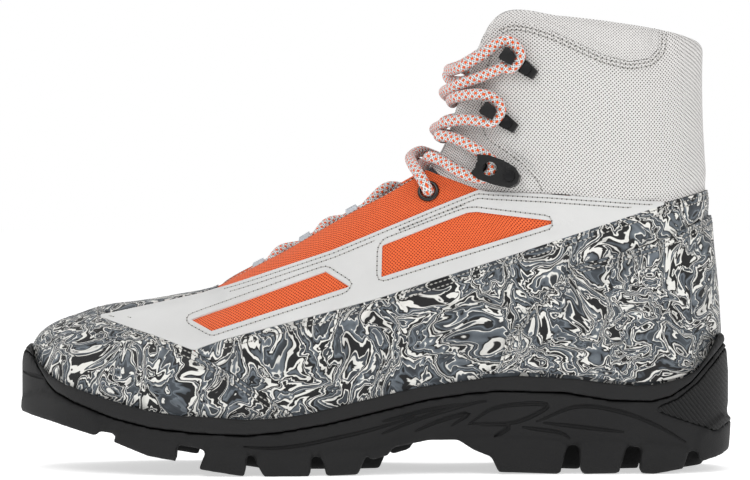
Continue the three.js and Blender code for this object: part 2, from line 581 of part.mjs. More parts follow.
const throatLine = [[85, 77.1], [97.9, 84.6], [115, 94.3], [132, 103.7], [145, 111.9], [158, 118.9], [169, 125.6],
  [178, 132], [184.5, 141], [188, 152], [190.5, 163], [193.4, 174.9], [198.5, 186], [203, 192]];

function tonguePad() {
  const curve = new THREE.SplineCurve(throatLine.map(([x, z]) => new THREE.Vector2(gx(x), gz(z))));
  const steps = 15;
  const across = 6;
  const layer = (depth) => Array.from({ length: steps + 1 }, (_, i) => {
    const t = 0.03 + (0.95 * i) / steps;
    const [at, along] = [curve.getPoint(t), curve.getTangent(t)];
    const inward = new THREE.Vector2(along.y, -along.x);
    const half = (tongueWidth / 2) * (0.62 + 0.38 * THREE.MathUtils.smoothstep(t, 0, 0.6));
    return Array.from({ length: across + 1 }, (_, j) => {
      const y = half * ((2 * j) / across - 1);
      const down = tongueDepth + depth + tongueCrown * (y / half) ** 2;
      return new THREE.Vector3(at.x + inward.x * down, y + gy(1.5) * (1 - t), at.y + inward.y * down);
    });
  });
  return slabBetween(layer(0), layer(tongueThickness));
}

// ---------------------------------------------------------------- lace

const lace = { diameter: 4.8, sides: 8 };
const webbing = { inner: 2.8, thickness: 1, width: 5, reach: 6 };
const aglet = { radius: 1.9, sides: 10 };
const loopSpots = [[103, 2.4], [123, 2.4], [143, 2.4]];   // place along the throat, depth of the lace below its edge

// One lace, from the tail behind the inner facing, down one way, across the bottom and up the other way.
const laceRoute = [
  [198.9, 13.4, 158.4], [198.2, 13.1, 162.8], [196, 12.2, 167.5], [192.5, 10.8, 171], [188.5, 7, 172],
  [185, 0, 171.2], [187, -13, 171.3], [190.6, -21.2, 172.9], [194.8, -24.3, 175.4], [199.6, -26.3, 178.4],
  [205, -28.8, 182.4], [209.3, -30, 183.8], [212.8, -30.9, 181.6], [214.8, -31.6, 178], [213.6, -31.6, 174.7],
  [210.8, -31.2, 172.2], [207, -30.2, 172.2], [203, -28.8, 170.4], [195.6, -25.4, 167.4], [189.3, -21.6, 165.2],
  [184.8, -13, 163], [182.8, 0, 161.4],
  [185.6, 13, 159], [188.3, 21.5, 160], [194.5, 27, 161], [199.7, 29.8, 160.8], [204.4, 30.8, 158.5],
  [206.5, 31.4, 155], [205.3, 31.3, 151.5], [202.3, 31, 149], [198.2, 30.2, 149.6], [191.8, 27, 150.2],
  [186.3, 23, 149.5], [183.2, 19.4, 148.4], [181.5, 13, 145.4], [182.6, 0, 142],
  [180.6, -13, 142.9], [181, -20.3, 143.2], [185.3, -23.8, 142.6], [190.5, -28, 140.8], [195.5, -31, 138],
  [199.7, -31.8, 135.4], [202.6, -32.4, 132.8], [202.8, -32.8, 128.9], [200.1, -32.8, 125.9], [196.3, -32.4, 125.7],
  [191.6, -31.2, 126.9], [186.6, -28.4, 129.3], [182.5, -24.8, 131.9], [176.9, -20.8, 134.2], [175.3, -13, 132.4],
  [173.6, 0, 130],
  [170.6, 14.5, 131], [171, 22.6, 127.9], [173.4, 25.6, 124.2], [175.2, 26.4, 120.9], [176.2, 21.6, 119.1],
  [177.1, 17, 117.6], [177.9, 14, 116.6], [174.2, 11, 117.2], [168, 7.5, 119], [158.6, 0, 120.6],
  [147.2, -9.9, 110.4], [144.2, -10.3, 108.7], [141.2, -9.9, 106.8], [135.4, 0.3, 100.8],
  [127, 10.2, 98.7], [124.2, 10.4, 97], [121.2, 10, 95.3], [112.9, 1.6, 93.6],
  [107.2, -6.9, 87.5], [104.2, -6.9, 85.7], [101.3, -6.6, 83.9], [99.8, -3.5, 82.8], [99.4, 1.5, 82.3],
  [99.8, 6.5, 82.8], [101.3, 9.6, 83.9], [104.2, 9.9, 85.7], [107, 9.6, 87.4], [115.5, 1.4, 89.2],
  [121.2, -8.7, 95.3], [124.2, -9.1, 97], [127, -8.9, 98.7], [132.8, 0.3, 105.2],
  [141.2, 9.8, 106.8], [144.2, 10.2, 108.7], [147.2, 9.8, 110.4], [161.5, 0, 116],
  [168.5, -8, 117.4], [174.3, -11.8, 116.4], [178.2, -14.6, 115.9], [177.3, -17.7, 117.2], [176.2, -22.2, 119],
  [175.2, -27, 121], [173.4, -26, 124.3], [171.2, -22.4, 127.7], [169, -15, 131.2], [168.6, 0, 133.8],
  [172.8, 13, 135.8], [177, 20.8, 134.4], [182.5, 24.8, 131.9], [186.7, 27.6, 129.3], [191.6, 29.4, 127],
  [196.3, 30.2, 125.7], [200.1, 30.8, 125.9], [202.8, 31, 128.9], [202.6, 30.7, 132.8], [199.7, 30.2, 135.4],
  [195.5, 29.4, 138], [190.5, 27.2, 140.8], [185.3, 23.8, 142.6], [180.9, 20.2, 143.4], [179.3, 13, 144.8],
  [179, 0, 145.9],
  [181.2, -13, 147.4], [183.4, -19.6, 148.8], [186.3, -23.2, 149.6], [191.8, -27.4, 150.2], [198.2, -31, 149.6],
  [202.3, -32, 149], [205.3, -32.2, 151.5], [206.5, -32.1, 155], [204.4, -31.4, 158.5], [199.7, -30.5, 160.8],
  [194.5, -27.6, 161], [188.3, -21.7, 159.9], [185.8, -13, 158.6], [186.4, 0, 157.2],
  [185.4, 13, 162.4], [189.4, 21.5, 165.3], [195.6, 25.5, 167.2], [203, 28.6, 170.4], [207, 30, 172.2],
  [210.8, 31, 172.2], [213.6, 31.4, 174.7], [214.8, 31.5, 178], [212.8, 30.7, 181.6], [209.3, 29.8, 183.8],
  [205, 28.6, 182.4], [199.6, 26.2, 178.4], [194.8, 24.2, 175.4], [190.4, 21, 172.9], [186, 14, 171],
  [184.4, 8, 168.4], [186.4, 0, 166.3],
  [189.5, -8, 166], [193.5, -12.2, 164.8], [197.2, -13.8, 161.6], [198.7, -14.1, 157.8],
];
const agletEnds = [[[198.6, 13.5, 157], [193.5, 14.4, 141]], [[198.4, -14.2, 156.4], [193.5, -14.6, 141]]];

// A tube or rod of regular section, with a ring of corners at each point of its line.
function rodAlong(points, radius, corners) {
  const curve = new THREE.CatmullRomCurve3(points.map((p) => new THREE.Vector3(...p)), false, 'centripetal');
  curve.getUtoTmapping = (u) => u;
  const section = new THREE.Shape();
  for (let k = 0; k < corners; k++) {
    const angle = (2 * Math.PI * k) / corners;
    section[k ? 'lineTo' : 'moveTo'](radius * Math.cos(angle), radius * Math.sin(angle));
  }
  section.closePath();
  const steps = points.length - 1;
  return toSolid(new THREE.ExtrudeGeometry(section, { steps, extrudePath: curve, bevelEnabled: false }));
}

const laceTube = (extra) => rodAlong(laceRoute, lace.diameter / 2 + extra, lace.sides);

function agletRod([from, to], extra) {
  const [start, end] = [new THREE.Vector3(...from), new THREE.Vector3(...to)];
  const middle = start.clone().lerp(end, 0.5);
  return rodAlong([start.toArray(), middle.toArray(), end.toArray()], aglet.radius + extra, aglet.sides);
}

// A webbing loop sewn under the edge of the throat, with the lace through it.
function laceLoop(side, x, depth) {
  let u = ridgeEnd;
  while (skinPoint(-side * u, 1, 0).x < gx(x)) u += 0.01;
  const at = skinPoint(-side * u, edge, 0);
  const along = skinPoint(-side * (u + 0.1), edge, 0).sub(at).setY(0).normalize();
  const outward = new THREE.Vector3(0, side, 0);
  const up = new THREE.Vector3().crossVectors(along, outward).multiplyScalar(side);
  const under = skinPoint(-side * u, edge, liningBack - clearance).sub(at);
  const corner = new THREE.Vector2(under.dot(outward), under.dot(up));
  const deep = skinPoint(-side * u, 1 - rowStep / 2, liningBack - clearance - 0.3).sub(at);
  const far = new THREE.Vector2(deep.dot(outward), deep.dot(up) - 0.3);
  const outer = webbing.inner + webbing.thickness;
  const middle = new THREE.Vector2(corner.x - clearance - outer, -depth);
  const ring = new THREE.Shape().absarc(middle.x, middle.y, outer, 0, 2 * Math.PI);
  ring.holes.push(new THREE.Path().absarc(middle.x, middle.y, webbing.inner, 0, 2 * Math.PI, true));
  const tab = new THREE.Shape([[middle.x + webbing.inner + 0.2, middle.y], [middle.x + outer, middle.y],
    [middle.x + outer, corner.y - 0.5], [far.x, far.y],
    [far.x, far.y - 0.8], [middle.x + webbing.inner + 0.2, corner.y - 1.6],
  ].map(([a, b]) => new THREE.Vector2(a, b)));
  const half = webbing.width / 2;
  const across = new THREE.Vector3().crossVectors(outward, up);
  const matrix = new THREE.Matrix4().makeBasis(outward, up, across).setPosition(at);
  return placed(upright(ring, -half, half).add(upright(tab, -half, half)), matrix);
}

// ---------------------------------------------------------------- assembly

const finish = {
  rubber: { color: '#1b1b1d', roughness: 0.85 },
  print: { color: '#5d6670', roughness: 0.75 },
  mesh: { color: '#d6d4d1', roughness: 0.95 },
  orange: { color: '#e4552b', roughness: 0.9 },
  leather: { color: '#e4e3e1', roughness: 0.6 },
  textile: { color: '#3c3e42', roughness: 0.95 },
  foam: { color: '#c9c4b4', roughness: 1 },
  board: { color: '#8a7a63', roughness: 0.9 },
  steel: { color: '#a9abad', roughness: 0.35, metalness: 1 },
  hardware: { color: '#17181a', roughness: 0.4 },
  lace: { color: '#ccd3dc', roughness: 0.9 },
};

const boot = new THREE.Group();

function add(name, solid, look) {
  const mesh = new THREE.Mesh(toGeometry(solid), new THREE.MeshStandardMaterial(finish[look]));
  mesh.name = name;
  boot.add(mesh);
  const parts = solid.decompose();
  if (parts.length !== 1) console.error(name, 'bodies', parts.map((p) => p.volume().toFixed(3)).join(' '));
}

const space = soleSpace();
add('outsole', outsole(space), 'rubber');
add('midsole', midsole(space), 'rubber');
add('heel_stabilizer', heelStabilizer(space), 'rubber');
add('shank', shankBar(0), 'steel');
add('insole_board', insoleBoard(), 'board');
add('footbed', footbed(), 'textile');
add('toe_cap', toeCap(), 'print');
add('toe_puff', toePuff(), 'board');
add('heel_counter', heelCounter(), 'board');
add('heel_wrap', heelWrap(), 'print');
add('vamp_strip', vampStrip(), 'print');
for (const [name, side] of sides) {
  const hole = seat(eyelet.x, eyelet.z, side, 0, 0);
  const eyeletHole = placed(pillar(eyelet.barrel + 1.8 * clearance, -9, 4, 16), hole.matrix);
  const lockSeat = seat(lock.x, lock.z, side, lock.rise, midFront + hook.lift);
  const hookSeats = hooks.map(({ x, z, rise }) => seat(x, z, side, rise, hook.lift));
  const pinHole = (where) => placed(pillar(rivet.shank + clearance, -4.2, 3), where.matrix);
  const pinHoles = [lockSeat, ...hookSeats].map(pinHole).reduce((a, b) => a.add(b));
  add(`vamp_mesh_${name}`, vampMesh(side).subtract(eyeletHole), 'orange');
  add(`side_panel_${name}`, sidePanel(side), 'print');
  add(`ankle_panel_${name}`, anklePanel(side).subtract(pinHoles), 'mesh');
  add(`collar_panel_${name}`, collarPanel(side), 'mesh');
  add(`facing_${name}`, facing(side).subtract(pinHoles), 'mesh');
  add(`strap_${name}`, strap(side), 'leather');
  add(`collar_foam_${name}`, collarFoam(side), 'foam');
  add(`lining_${name}`, lining(side).subtract(eyeletHole), 'textile');
  add(`eyelet_${name}`, placed(eyeletRing(), hole.matrix), 'hardware');
  add(`lace_lock_${name}`, placed(lockPlate(lockSeat.up), lockSeat.matrix), 'hardware');
  const lockTop = lock.base + lock.room + lock.plate + clearance;
  add(`lock_rivet_${name}`, placed(rivetPin(lockTop, -1.6), lockSeat.matrix), 'steel');
  hooks.forEach((one, i) => {
    add(`${one.name}_${name}`, placed(hookBody(hookSeats[i].up), hookSeats[i].matrix), 'hardware');
    const headAt = hook.boss + clearance;
    add(`${one.name}_rivet_${name}`, placed(rivetPin(headAt, midBack - hook.lift + 0.1), hookSeats[i].matrix), 'steel');
  });
}
for (const [name, side] of sides) {
  loopSpots.forEach(([x, depth], i) => add(`lace_loop_${i + 1}_${name}`, laceLoop(side, x, depth), 'lace'));
}
const cordRoom = agletEnds.map((ends) => agletRod(ends, clearance)).reduce((a, b) => a.add(b), laceTube(clearance));
const eyeletRoom = sides.map(([, side]) => placed(eyeletSpace(), seat(eyelet.x, eyelet.z, side, 0, 0).matrix));
const tonguePlace = body(liningBack - clearance).subtract(eyeletRoom[0]).subtract(eyeletRoom[1]);
add('tongue', tonguePad().intersect(tonguePlace).subtract(cordRoom), 'mesh');
add('lace', laceTube(0), 'lace');
agletEnds.forEach((ends, i) => add(`aglet_${i + 1}`, agletRod(ends, 0), 'hardware'));

boot.position.set(-gx(pattern.length / 2), gy(middleLine), 0);
boot.updateMatrixWorld(true);

export default boot;
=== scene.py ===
# A laced hiking boot for the left foot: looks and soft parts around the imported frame.
import math
import bmesh
import bpy
import numpy as np
from mathutils import Matrix, Vector


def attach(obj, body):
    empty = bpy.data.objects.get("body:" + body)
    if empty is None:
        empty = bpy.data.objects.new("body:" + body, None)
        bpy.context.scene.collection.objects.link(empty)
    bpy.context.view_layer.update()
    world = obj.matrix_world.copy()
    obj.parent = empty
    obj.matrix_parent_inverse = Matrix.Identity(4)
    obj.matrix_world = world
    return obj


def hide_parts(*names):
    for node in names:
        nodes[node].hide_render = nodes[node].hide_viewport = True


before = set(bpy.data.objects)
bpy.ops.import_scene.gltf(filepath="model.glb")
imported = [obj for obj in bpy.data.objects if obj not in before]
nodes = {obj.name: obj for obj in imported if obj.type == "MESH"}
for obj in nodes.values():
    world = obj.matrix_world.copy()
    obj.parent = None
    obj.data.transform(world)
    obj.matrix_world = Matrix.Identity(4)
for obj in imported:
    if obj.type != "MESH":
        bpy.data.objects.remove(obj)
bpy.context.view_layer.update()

sideNames = {"outer": -1, "inner": 1}
mm = 0.001
print("frame loaded")


# drawn sizes are millimetres from the toe; the frame is metres from the middle of the sole

formMiddle = (153.0, -1.2)


def place(points):
    points = np.asarray(points, float)
    return (points - [formMiddle[0], formMiddle[1], 0]) * mm


# camera and floor

view = {"target": (0.0001, -0.01, 0.0984), "distance": 3.0, "tilt": 2.0, "frameWidth": 0.3209, "sensor": 36}


def makeCamera():
    data = bpy.data.cameras.new("camera")
    data.sensor_width = view["sensor"]
    data.lens = view["sensor"] * view["distance"] / view["frameWidth"]
    data.clip_start, data.clip_end = 0.05, 50
    camera = bpy.data.objects.new("camera", data)
    bpy.context.scene.collection.objects.link(camera)
    tilt = math.radians(view["tilt"])
    back = Vector((0, -math.cos(tilt), math.sin(tilt)))
    camera.location = Vector(view["target"]) + back * view["distance"]
    camera.rotation_mode = "QUATERNION"
    camera.rotation_quaternion = (-back).to_track_quat("-Z", "Y")
    bpy.context.scene.camera = camera


makeCamera()


# meshes

def toObject(bm, name, smooth=True):
    mesh = bpy.data.meshes.new(name)
    bm.to_mesh(mesh)
    bm.free()
    mesh.polygons.foreach_set("use_smooth", [smooth] * len(mesh.polygons))
    piece = bpy.data.objects.new(name, mesh)
    bpy.context.scene.collection.objects.link(piece)
    return piece


def baked(piece):
    # the modifiers' result becomes the mesh
    bpy.context.view_layer.update()
    shape = piece.evaluated_get(bpy.context.evaluated_depsgraph_get())
    old = piece.data
    piece.data = bpy.data.meshes.new_from_object(shape)
    piece.data.name = piece.name
    piece.modifiers.clear()
    bpy.data.meshes.remove(old)
    return piece


def combined(piece, cutter, operation="DIFFERENCE"):
    modifier = piece.modifiers.new("cut", "BOOLEAN")
    modifier.operation, modifier.object, modifier.solver = operation, cutter, "MANIFOLD"
    baked(piece)
    bpy.data.objects.remove(cutter)
    return piece


def remeshed(piece, voxel, rounds):
    modifier = piece.modifiers.new("remesh", "REMESH")
    modifier.mode, modifier.voxel_size = "VOXEL", voxel
    if rounds:
        soften = piece.modifiers.new("soften", "SMOOTH")
        soften.factor, soften.iterations = 0.5, rounds
    baked(piece)
    piece.data.polygons.foreach_set("use_smooth", [True] * len(piece.data.polygons))
    return piece


def smoothByAngle(piece, degrees=35):
    bm = bmesh.new()
    bm.from_mesh(piece.data)
    for e in bm.edges:
        e.smooth = len(e.link_faces) == 2 and e.calc_face_angle(0) < math.radians(degrees)
    bm.to_mesh(piece.data)
    bm.free()
    return piece


def wear(piece, body, material, slot, *stoodFor):
    piece.data.materials.clear()
    piece.data.materials.append(material)
    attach(piece, body)
    if stoodFor:
        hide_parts(*stoodFor)
    return piece


# shader pieces

def addNode(tree, kind, values=None, **settings):
    node = tree.nodes.new("ShaderNode" + kind)
    for key, value in settings.items():
        setattr(node, key, value)
    for key, value in (values or {}).items():
        node.inputs[key].default_value = value
    return node


def link(tree, source, output, target, into):
    tree.links.new(source.outputs[output], target.inputs[into])


def sums(tree, operation, first, second=None, firstOutput=0, secondOutput=0):
    # one Math node; numbers or nodes may go in
    node = addNode(tree, "Math", operation=operation)
    for slot, (value, output) in enumerate([(first, firstOutput), (second, secondOutput)]):
        if isinstance(value, (int, float)):
            node.inputs[slot].default_value = value
        elif value is not None:
            link(tree, value, output, node, slot)
    return node


def ramp(tree, source, stops, output=0, smooth=False):
    node = addNode(tree, "ValToRGB")
    node.color_ramp.interpolation = "EASE" if smooth else "LINEAR"
    elements = node.color_ramp.elements
    while len(elements) < len(stops):
        elements.new(0.5)
    for element, (at, colour) in zip(elements, stops):
        element.position = at
        element.color = (*colour, 1) if hasattr(colour, "__len__") else (colour, colour, colour, 1)
    link(tree, source, output, node, 0)
    return node


def blended(tree, factor, first, second, blend="MULTIPLY"):
    # two colours mixed by a number, or by a mask node
    node = addNode(tree, "Mix", data_type="RGBA", blend_type=blend)
    if isinstance(factor, float):
        node.inputs[0].default_value = factor
    else:
        link(tree, factor, 0, node, 0)
    link(tree, first, 0, node, 6)
    if isinstance(second, tuple):
        node.inputs[7].default_value = (*second, 1)
    else:
        link(tree, second, 0, node, 7)
    return node


def linear(code):
    # a screen colour such as "e2e2e2" as the shader's own numbers
    parts = [int(code[i:i + 2], 16) / 255 for i in (0, 2, 4)]
    return tuple(p / 12.92 if p < 0.04045 else ((p + 0.055) / 1.055) ** 2.4 for p in parts)


def newGroup(name, inputs, outputs):
    tree = bpy.data.node_groups.new(name, "ShaderNodeTree")
    for title, kind, value in inputs:
        socket = tree.interface.new_socket(title, in_out="INPUT", socket_type="NodeSocket" + kind)
        if value is not None:
            socket.default_value = value
    for title, kind in outputs:
        tree.interface.new_socket(title, in_out="OUTPUT", socket_type="NodeSocket" + kind)
    return tree, tree.nodes.new("NodeGroupInput"), tree.nodes.new("NodeGroupOutput")


def makeMarbling():
    # ink drawn into nested lines and pools: noise bent by noise, then cut into bands
    tree, given, result = newGroup("marbling", [("Vector", "Vector", None), ("Scale", "Float", 60.0),
        ("Bands", "Float", 5.0)], [("Color", "Color"), ("Height", "Float")])
    warped, output = given, "Vector"
    for share, amount in ((0.8, 0.55), (2.1, 0.26), (5.2, 0.085), (13.0, 0.026)):
        bend = addNode(tree, "TexNoise", {"Detail": 1.0})
        link(tree, warped, output, bend, "Vector")
        link(tree, sums(tree, "MULTIPLY", given, share, firstOutput=1), 0, bend, "Scale")
        centred = addNode(tree, "VectorMath", operation="SUBTRACT")
        centred.inputs[1].default_value = (0.5, 0.5, 0.5)
        link(tree, bend, 1, centred, 0)
        reach = sums(tree, "DIVIDE", amount * 2.6, given, secondOutput=1)
        scaled = addNode(tree, "VectorMath", operation="SCALE")
        link(tree, centred, 0, scaled, 0)
        link(tree, reach, 0, scaled, "Scale")
        moved = addNode(tree, "VectorMath", operation="ADD")
        link(tree, warped, output, moved, 0)
        link(tree, scaled, 0, moved, 1)
        warped, output = moved, "Vector"
    ink = addNode(tree, "TexNoise", {"Detail": 2.2, "Roughness": 0.45})
    link(tree, warped, 0, ink, "Vector")
    link(tree, given, "Scale", ink, "Scale")
    bands = sums(tree, "FRACT", sums(tree, "MULTIPLY", ink, given, secondOutput=2))
    black, dark, mid, light, white = [linear(c) for c in ("0b0c0e", "272b30", "454c53", "6e767d", "e4e3de")]
    colours = ramp(tree, bands, [(0, black), (0.10, black), (0.11, white), (0.22, white), (0.23, black), (0.27, black),
        (0.28, mid), (0.40, light), (0.41, white), (0.44, white), (0.45, dark), (0.58, mid), (0.59, light), (0.66, mid),
        (0.67, black), (0.74, black), (0.75, white), (0.82, white), (0.83, mid), (0.91, dark), (0.92, white),
        (0.945, white), (0.955, black)])
    cloud = addNode(tree, "TexNoise", {"Detail": 3.0})
    link(tree, warped, 0, cloud, "Vector")
    link(tree, sums(tree, "MULTIPLY", given, 3.4, firstOutput=1), 0, cloud, "Scale")
    shade = ramp(tree, cloud, [(0.32, 0.55), (0.5, 1.0)])
    link(tree, blended(tree, 0.75, colours, shade), 2, result, "Color")
    link(tree, cloud, 0, result, "Height")
    return tree


def makeWeave():
    # staggered holes between raised yarns; Vector is the cloth's own map, in metres
    tree, given, result = newGroup("meshWeave", [("Vector", "Vector", None), ("Pitch", "Float", 0.0015)],
        [("Yarn", "Float"), ("Height", "Float")])
    wobble = addNode(tree, "TexNoise", {"Scale": 900.0, "Detail": 1.0})
    link(tree, given, "Vector", wobble, "Vector")
    parts = addNode(tree, "SeparateXYZ")
    link(tree, given, "Vector", parts, 0)
    waves = []
    for axis in (0, 1):
        turns = sums(tree, "DIVIDE", parts, given, firstOutput=axis, secondOutput=1)
        shaken = sums(tree, "ADD", turns, sums(tree, "MULTIPLY", wobble, 0.16))
        waves.append(sums(tree, "COSINE", sums(tree, "MULTIPLY", shaken, 2 * math.pi)))
    both = sums(tree, "MULTIPLY", waves[0], waves[1])
    pillow = sums(tree, "ADD", sums(tree, "MULTIPLY", both, 0.5), 0.5)
    yarn = ramp(tree, pillow, [(0.14, 0.0), (0.46, 1.0)], smooth=True)
    link(tree, yarn, 0, result, "Yarn")
    link(tree, pillow, 0, result, "Height")
    return tree


def makeGrain():
    # fine pores and creases of leather, rubber and moulded plastic
    tree, given, result = newGroup("grain", [("Vector", "Vector", None), ("Scale", "Float", 1200.0)],
        [("Height", "Float"), ("Cloud", "Float")])
    pores = addNode(tree, "TexVoronoi", feature="DISTANCE_TO_EDGE")
    link(tree, given, "Vector", pores, "Vector")
    link(tree, given, "Scale", pores, "Scale")
    fine = addNode(tree, "TexNoise", {"Detail": 4.0})
    link(tree, given, "Vector", fine, "Vector")
    link(tree, given, "Scale", fine, "Scale")
    edge = ramp(tree, pores, [(0.0, 0.0), (0.12, 1.0)], smooth=True)
    total = sums(tree, "ADD", edge, sums(tree, "MULTIPLY", fine, 0.8))
    cloud = addNode(tree, "TexNoise", {"Detail": 3.0})
    link(tree, given, "Vector", cloud, "Vector")
    link(tree, sums(tree, "MULTIPLY", given, 0.03, firstOutput=1), 0, cloud, "Scale")
    link(tree, total, 0, result, "Height")
    link(tree, cloud, 0, result, "Cloud")
    return tree


def makeSeamPress():
    # the dip that a row of stitches pulls in, at a distance from the piece's edge (millimetres)
    tree, given, result = newGroup("seamPress", [("At", "Float", 1.6), ("Width", "Float", 0.6)], [("Height", "Float")])
    seam = addNode(tree, "Attribute", attribute_name="seam")
    offset = sums(tree, "DIVIDE", sums(tree, "SUBTRACT", seam, given, firstOutput=2), given, secondOutput=1)
    bell = sums(tree, "EXPONENT", sums(tree, "MULTIPLY", sums(tree, "MULTIPLY", offset, offset), -1.0))
    link(tree, sums(tree, "SUBTRACT", 1.0, bell), 0, result, "Height")
    return tree


effects = {"marbling": makeMarbling(), "weave": makeWeave(), "grain": makeGrain(), "press": makeSeamPress()}


def effect(tree, name, vector=None, **values):
    node = addNode(tree, "Group", node_tree=effects[name])
    for key, value in values.items():
        node.inputs[key].default_value = value
    if vector is not None:
        tree.links.new(vector, node.inputs["Vector"])
    return node


def newMaterial(name, colour, roughness, metallic=0.0, coat=0.0, sheen=0.0):
    material = bpy.data.materials.new(name)
    material.use_nodes = True
    tree = material.node_tree
    shader = tree.nodes["Principled BSDF"]
    shader.inputs["Base Color"].default_value = (*linear(colour), 1)
    shader.inputs["Roughness"].default_value = roughness
    shader.inputs["Metallic"].default_value = metallic
    shader.inputs["Coat Weight"].default_value = coat
    shader.inputs["Sheen Weight"].default_value = sheen
    shader.inputs["Specular IOR Level"].default_value = 0.36
    material.diffuse_color = (*linear(colour), 1)
    return material, tree, shader


def bumped(tree, shader, height, distance, strength=1.0, output=0, under=None):
    bump = addNode(tree, "Bump", {"Strength": strength, "Distance": distance})
    link(tree, height, output, bump, "Height")
    if under is not None:
        link(tree, under, 0, bump, "Normal")
    link(tree, bump, 0, shader, "Normal")
    return bump


def printedFilm(name, shift, scale=33.0, bands=7.2, turn=0.0):
    material, tree, shader = newMaterial(name, "5d6670", 0.55, coat=0.1)
    where = addNode(tree, "TexCoord")
    mapping = addNode(tree, "Mapping")
    mapping.inputs["Location"].default_value = shift
    mapping.inputs["Rotation"].default_value = (0, turn, 0)
    link(tree, where, "Object", mapping, "Vector")
    marble = effect(tree, "marbling", mapping.outputs[0], Scale=scale, Bands=bands)
    grain = effect(tree, "grain", where.outputs["Object"], Scale=900.0)
    press = effect(tree, "press", At=2.2, Width=1.6)
    link(tree, marble, "Color", shader, "Base Color")
    under = bumped(tree, shader, grain, 0.00006)
    bumped(tree, shader, press, 0.0005, under=under)
    rough = ramp(tree, grain, [(0.3, 0.48), (0.7, 0.66)], output=1)
    link(tree, rough, 0, shader, "Roughness")
    return material


def knitMesh(name, hole, yarn, highlight, pitch, depth=0.00025, press=(2.2, 1.4)):
    material, tree, shader = newMaterial(name, yarn, 0.85, sheen=0.08)
    where = addNode(tree, "UVMap", uv_map="UVMap")
    weave = effect(tree, "weave", where.outputs[0], Pitch=pitch)
    # painted shade and painted highlight: the dark hole colour fills the weave's holes and the light highlight colour
    # its raised yarn tops, following the same relief as the bump
    colours = ramp(tree, weave, [(0.0, linear(hole)), (0.55, linear(yarn)), (1.0, linear(highlight))])
    fibres = addNode(tree, "TexNoise", {"Scale": 2600.0, "Detail": 3.0})
    link(tree, where, 0, fibres, "Vector")
    thread = ramp(tree, fibres, [(0.3, 0.82), (0.7, 1.0)])
    link(tree, blended(tree, 0.8, colours, thread), 2, shader, "Base Color")
    under = bumped(tree, shader, weave, depth, output=1)
    pull = effect(tree, "press", At=press[0], Width=press[1])
    bumped(tree, shader, pull, 0.0005, under=under)
    return material


def grained(name, colour, roughness, scale, depth, coat=0.0, metallic=0.0, sheen=0.0, spread=0.12):
    material, tree, shader = newMaterial(name, colour, roughness, metallic, coat, sheen)
    where = addNode(tree, "TexCoord")
    grain = effect(tree, "grain", where.outputs["Object"], Scale=scale)
    base = linear(colour)
    dark, light = [tuple(c * share for c in base) for share in (1 - spread, 1 + spread)]
    tones = ramp(tree, grain, [(0.3, dark), (0.7, light)], output=1)
    link(tree, tones, 0, shader, "Base Color")
    rough = ramp(tree, grain, [(0.3, max(roughness - 0.07, 0.03)), (0.7, min(roughness + 0.07, 1))], output=1)
    link(tree, rough, 0, shader, "Roughness")
    bumped(tree, shader, grain, depth)
    return material


# the three yarn tones run from the grooves between the braid's ribs to their crests: painted shade in the grooves, the
# yarn's own colour, a painted highlight on the crests
braid = {"fleckPitch": 0.0033, "flecksRound": 5.0, "base": "d3d3d2", "yarn": ("98999b", "dadad9", "f3f2f0"),
    "fleck": "ee5a12"}


def braidedLace():
    # pale yarns in a herringbone, grey in the grooves between the ribs as painted shade and near white on their crests
    # as a painted highlight, with orange flecks in staggered rows
    material, tree, shader = newMaterial("braidedLace", braid["base"], 0.8, sheen=0.2)
    where = addNode(tree, "UVMap", uv_map="UVMap")
    parts = addNode(tree, "SeparateXYZ")
    link(tree, where, 0, parts, 0)
    along = sums(tree, "DIVIDE", parts, braid["fleckPitch"])
    around = sums(tree, "MULTIPLY", parts, braid["flecksRound"], firstOutput=1)
    waves = [sums(tree, "COSINE", sums(tree, "MULTIPLY", v, 2 * math.pi)) for v in (along, around)]
    fleck = sums(tree, "MULTIPLY", waves[0], waves[1])
    fleckMask = ramp(tree, fleck, [(0.24, 0.0), (0.42, 1.0)])
    diagonals = []
    for sign in (1.0, -1.0):
        slant = sums(tree, "ADD", sums(tree, "MULTIPLY", along, 3.0), sums(tree, "MULTIPLY", around, 2.0 * sign))
        diagonals.append(sums(tree, "COSINE", sums(tree, "MULTIPLY", slant, 2 * math.pi)))
    ribs = sums(tree, "MAXIMUM", diagonals[0], diagonals[1])
    # painted shade and painted highlight: darker in the rib grooves, lighter on the crests, from the same ribs as the
    # bump
    yarn = ramp(tree, ribs, list(zip((0.0, 0.5, 1.0), map(linear, braid["yarn"]))))
    link(tree, blended(tree, fleckMask, yarn, linear(braid["fleck"]), "MIX"), 2, shader, "Base Color")
    under = bumped(tree, shader, ribs, 0.00012)
    bumped(tree, shader, fleck, 0.00025, under=under)
    return material


def ribbedPlastic():
    material, tree, shader = newMaterial("ribbedPlastic", "0f0f10", 0.62)
    where = addNode(tree, "TexCoord")
    turn = addNode(tree, "Mapping")
    turn.inputs["Rotation"].default_value = (0, math.radians(38), 0)
    link(tree, where, "Object", turn, "Vector")
    ribs = addNode(tree, "TexWave", {"Scale": 210.0, "Distortion": 0.0}, bands_direction="X")
    link(tree, turn, 0, ribs, "Vector")
    bumped(tree, shader, ribs, 0.0006, output=1)
    # painted shade and painted highlight: darker in the grooves between the ribs, lighter on their crests, following
    # the same waves as the bump
    tones = ramp(tree, ribs, [(0.2, linear("080808")), (0.9, linear("161617"))], output=1)
    link(tree, tones, 0, shader, "Base Color")
    return material


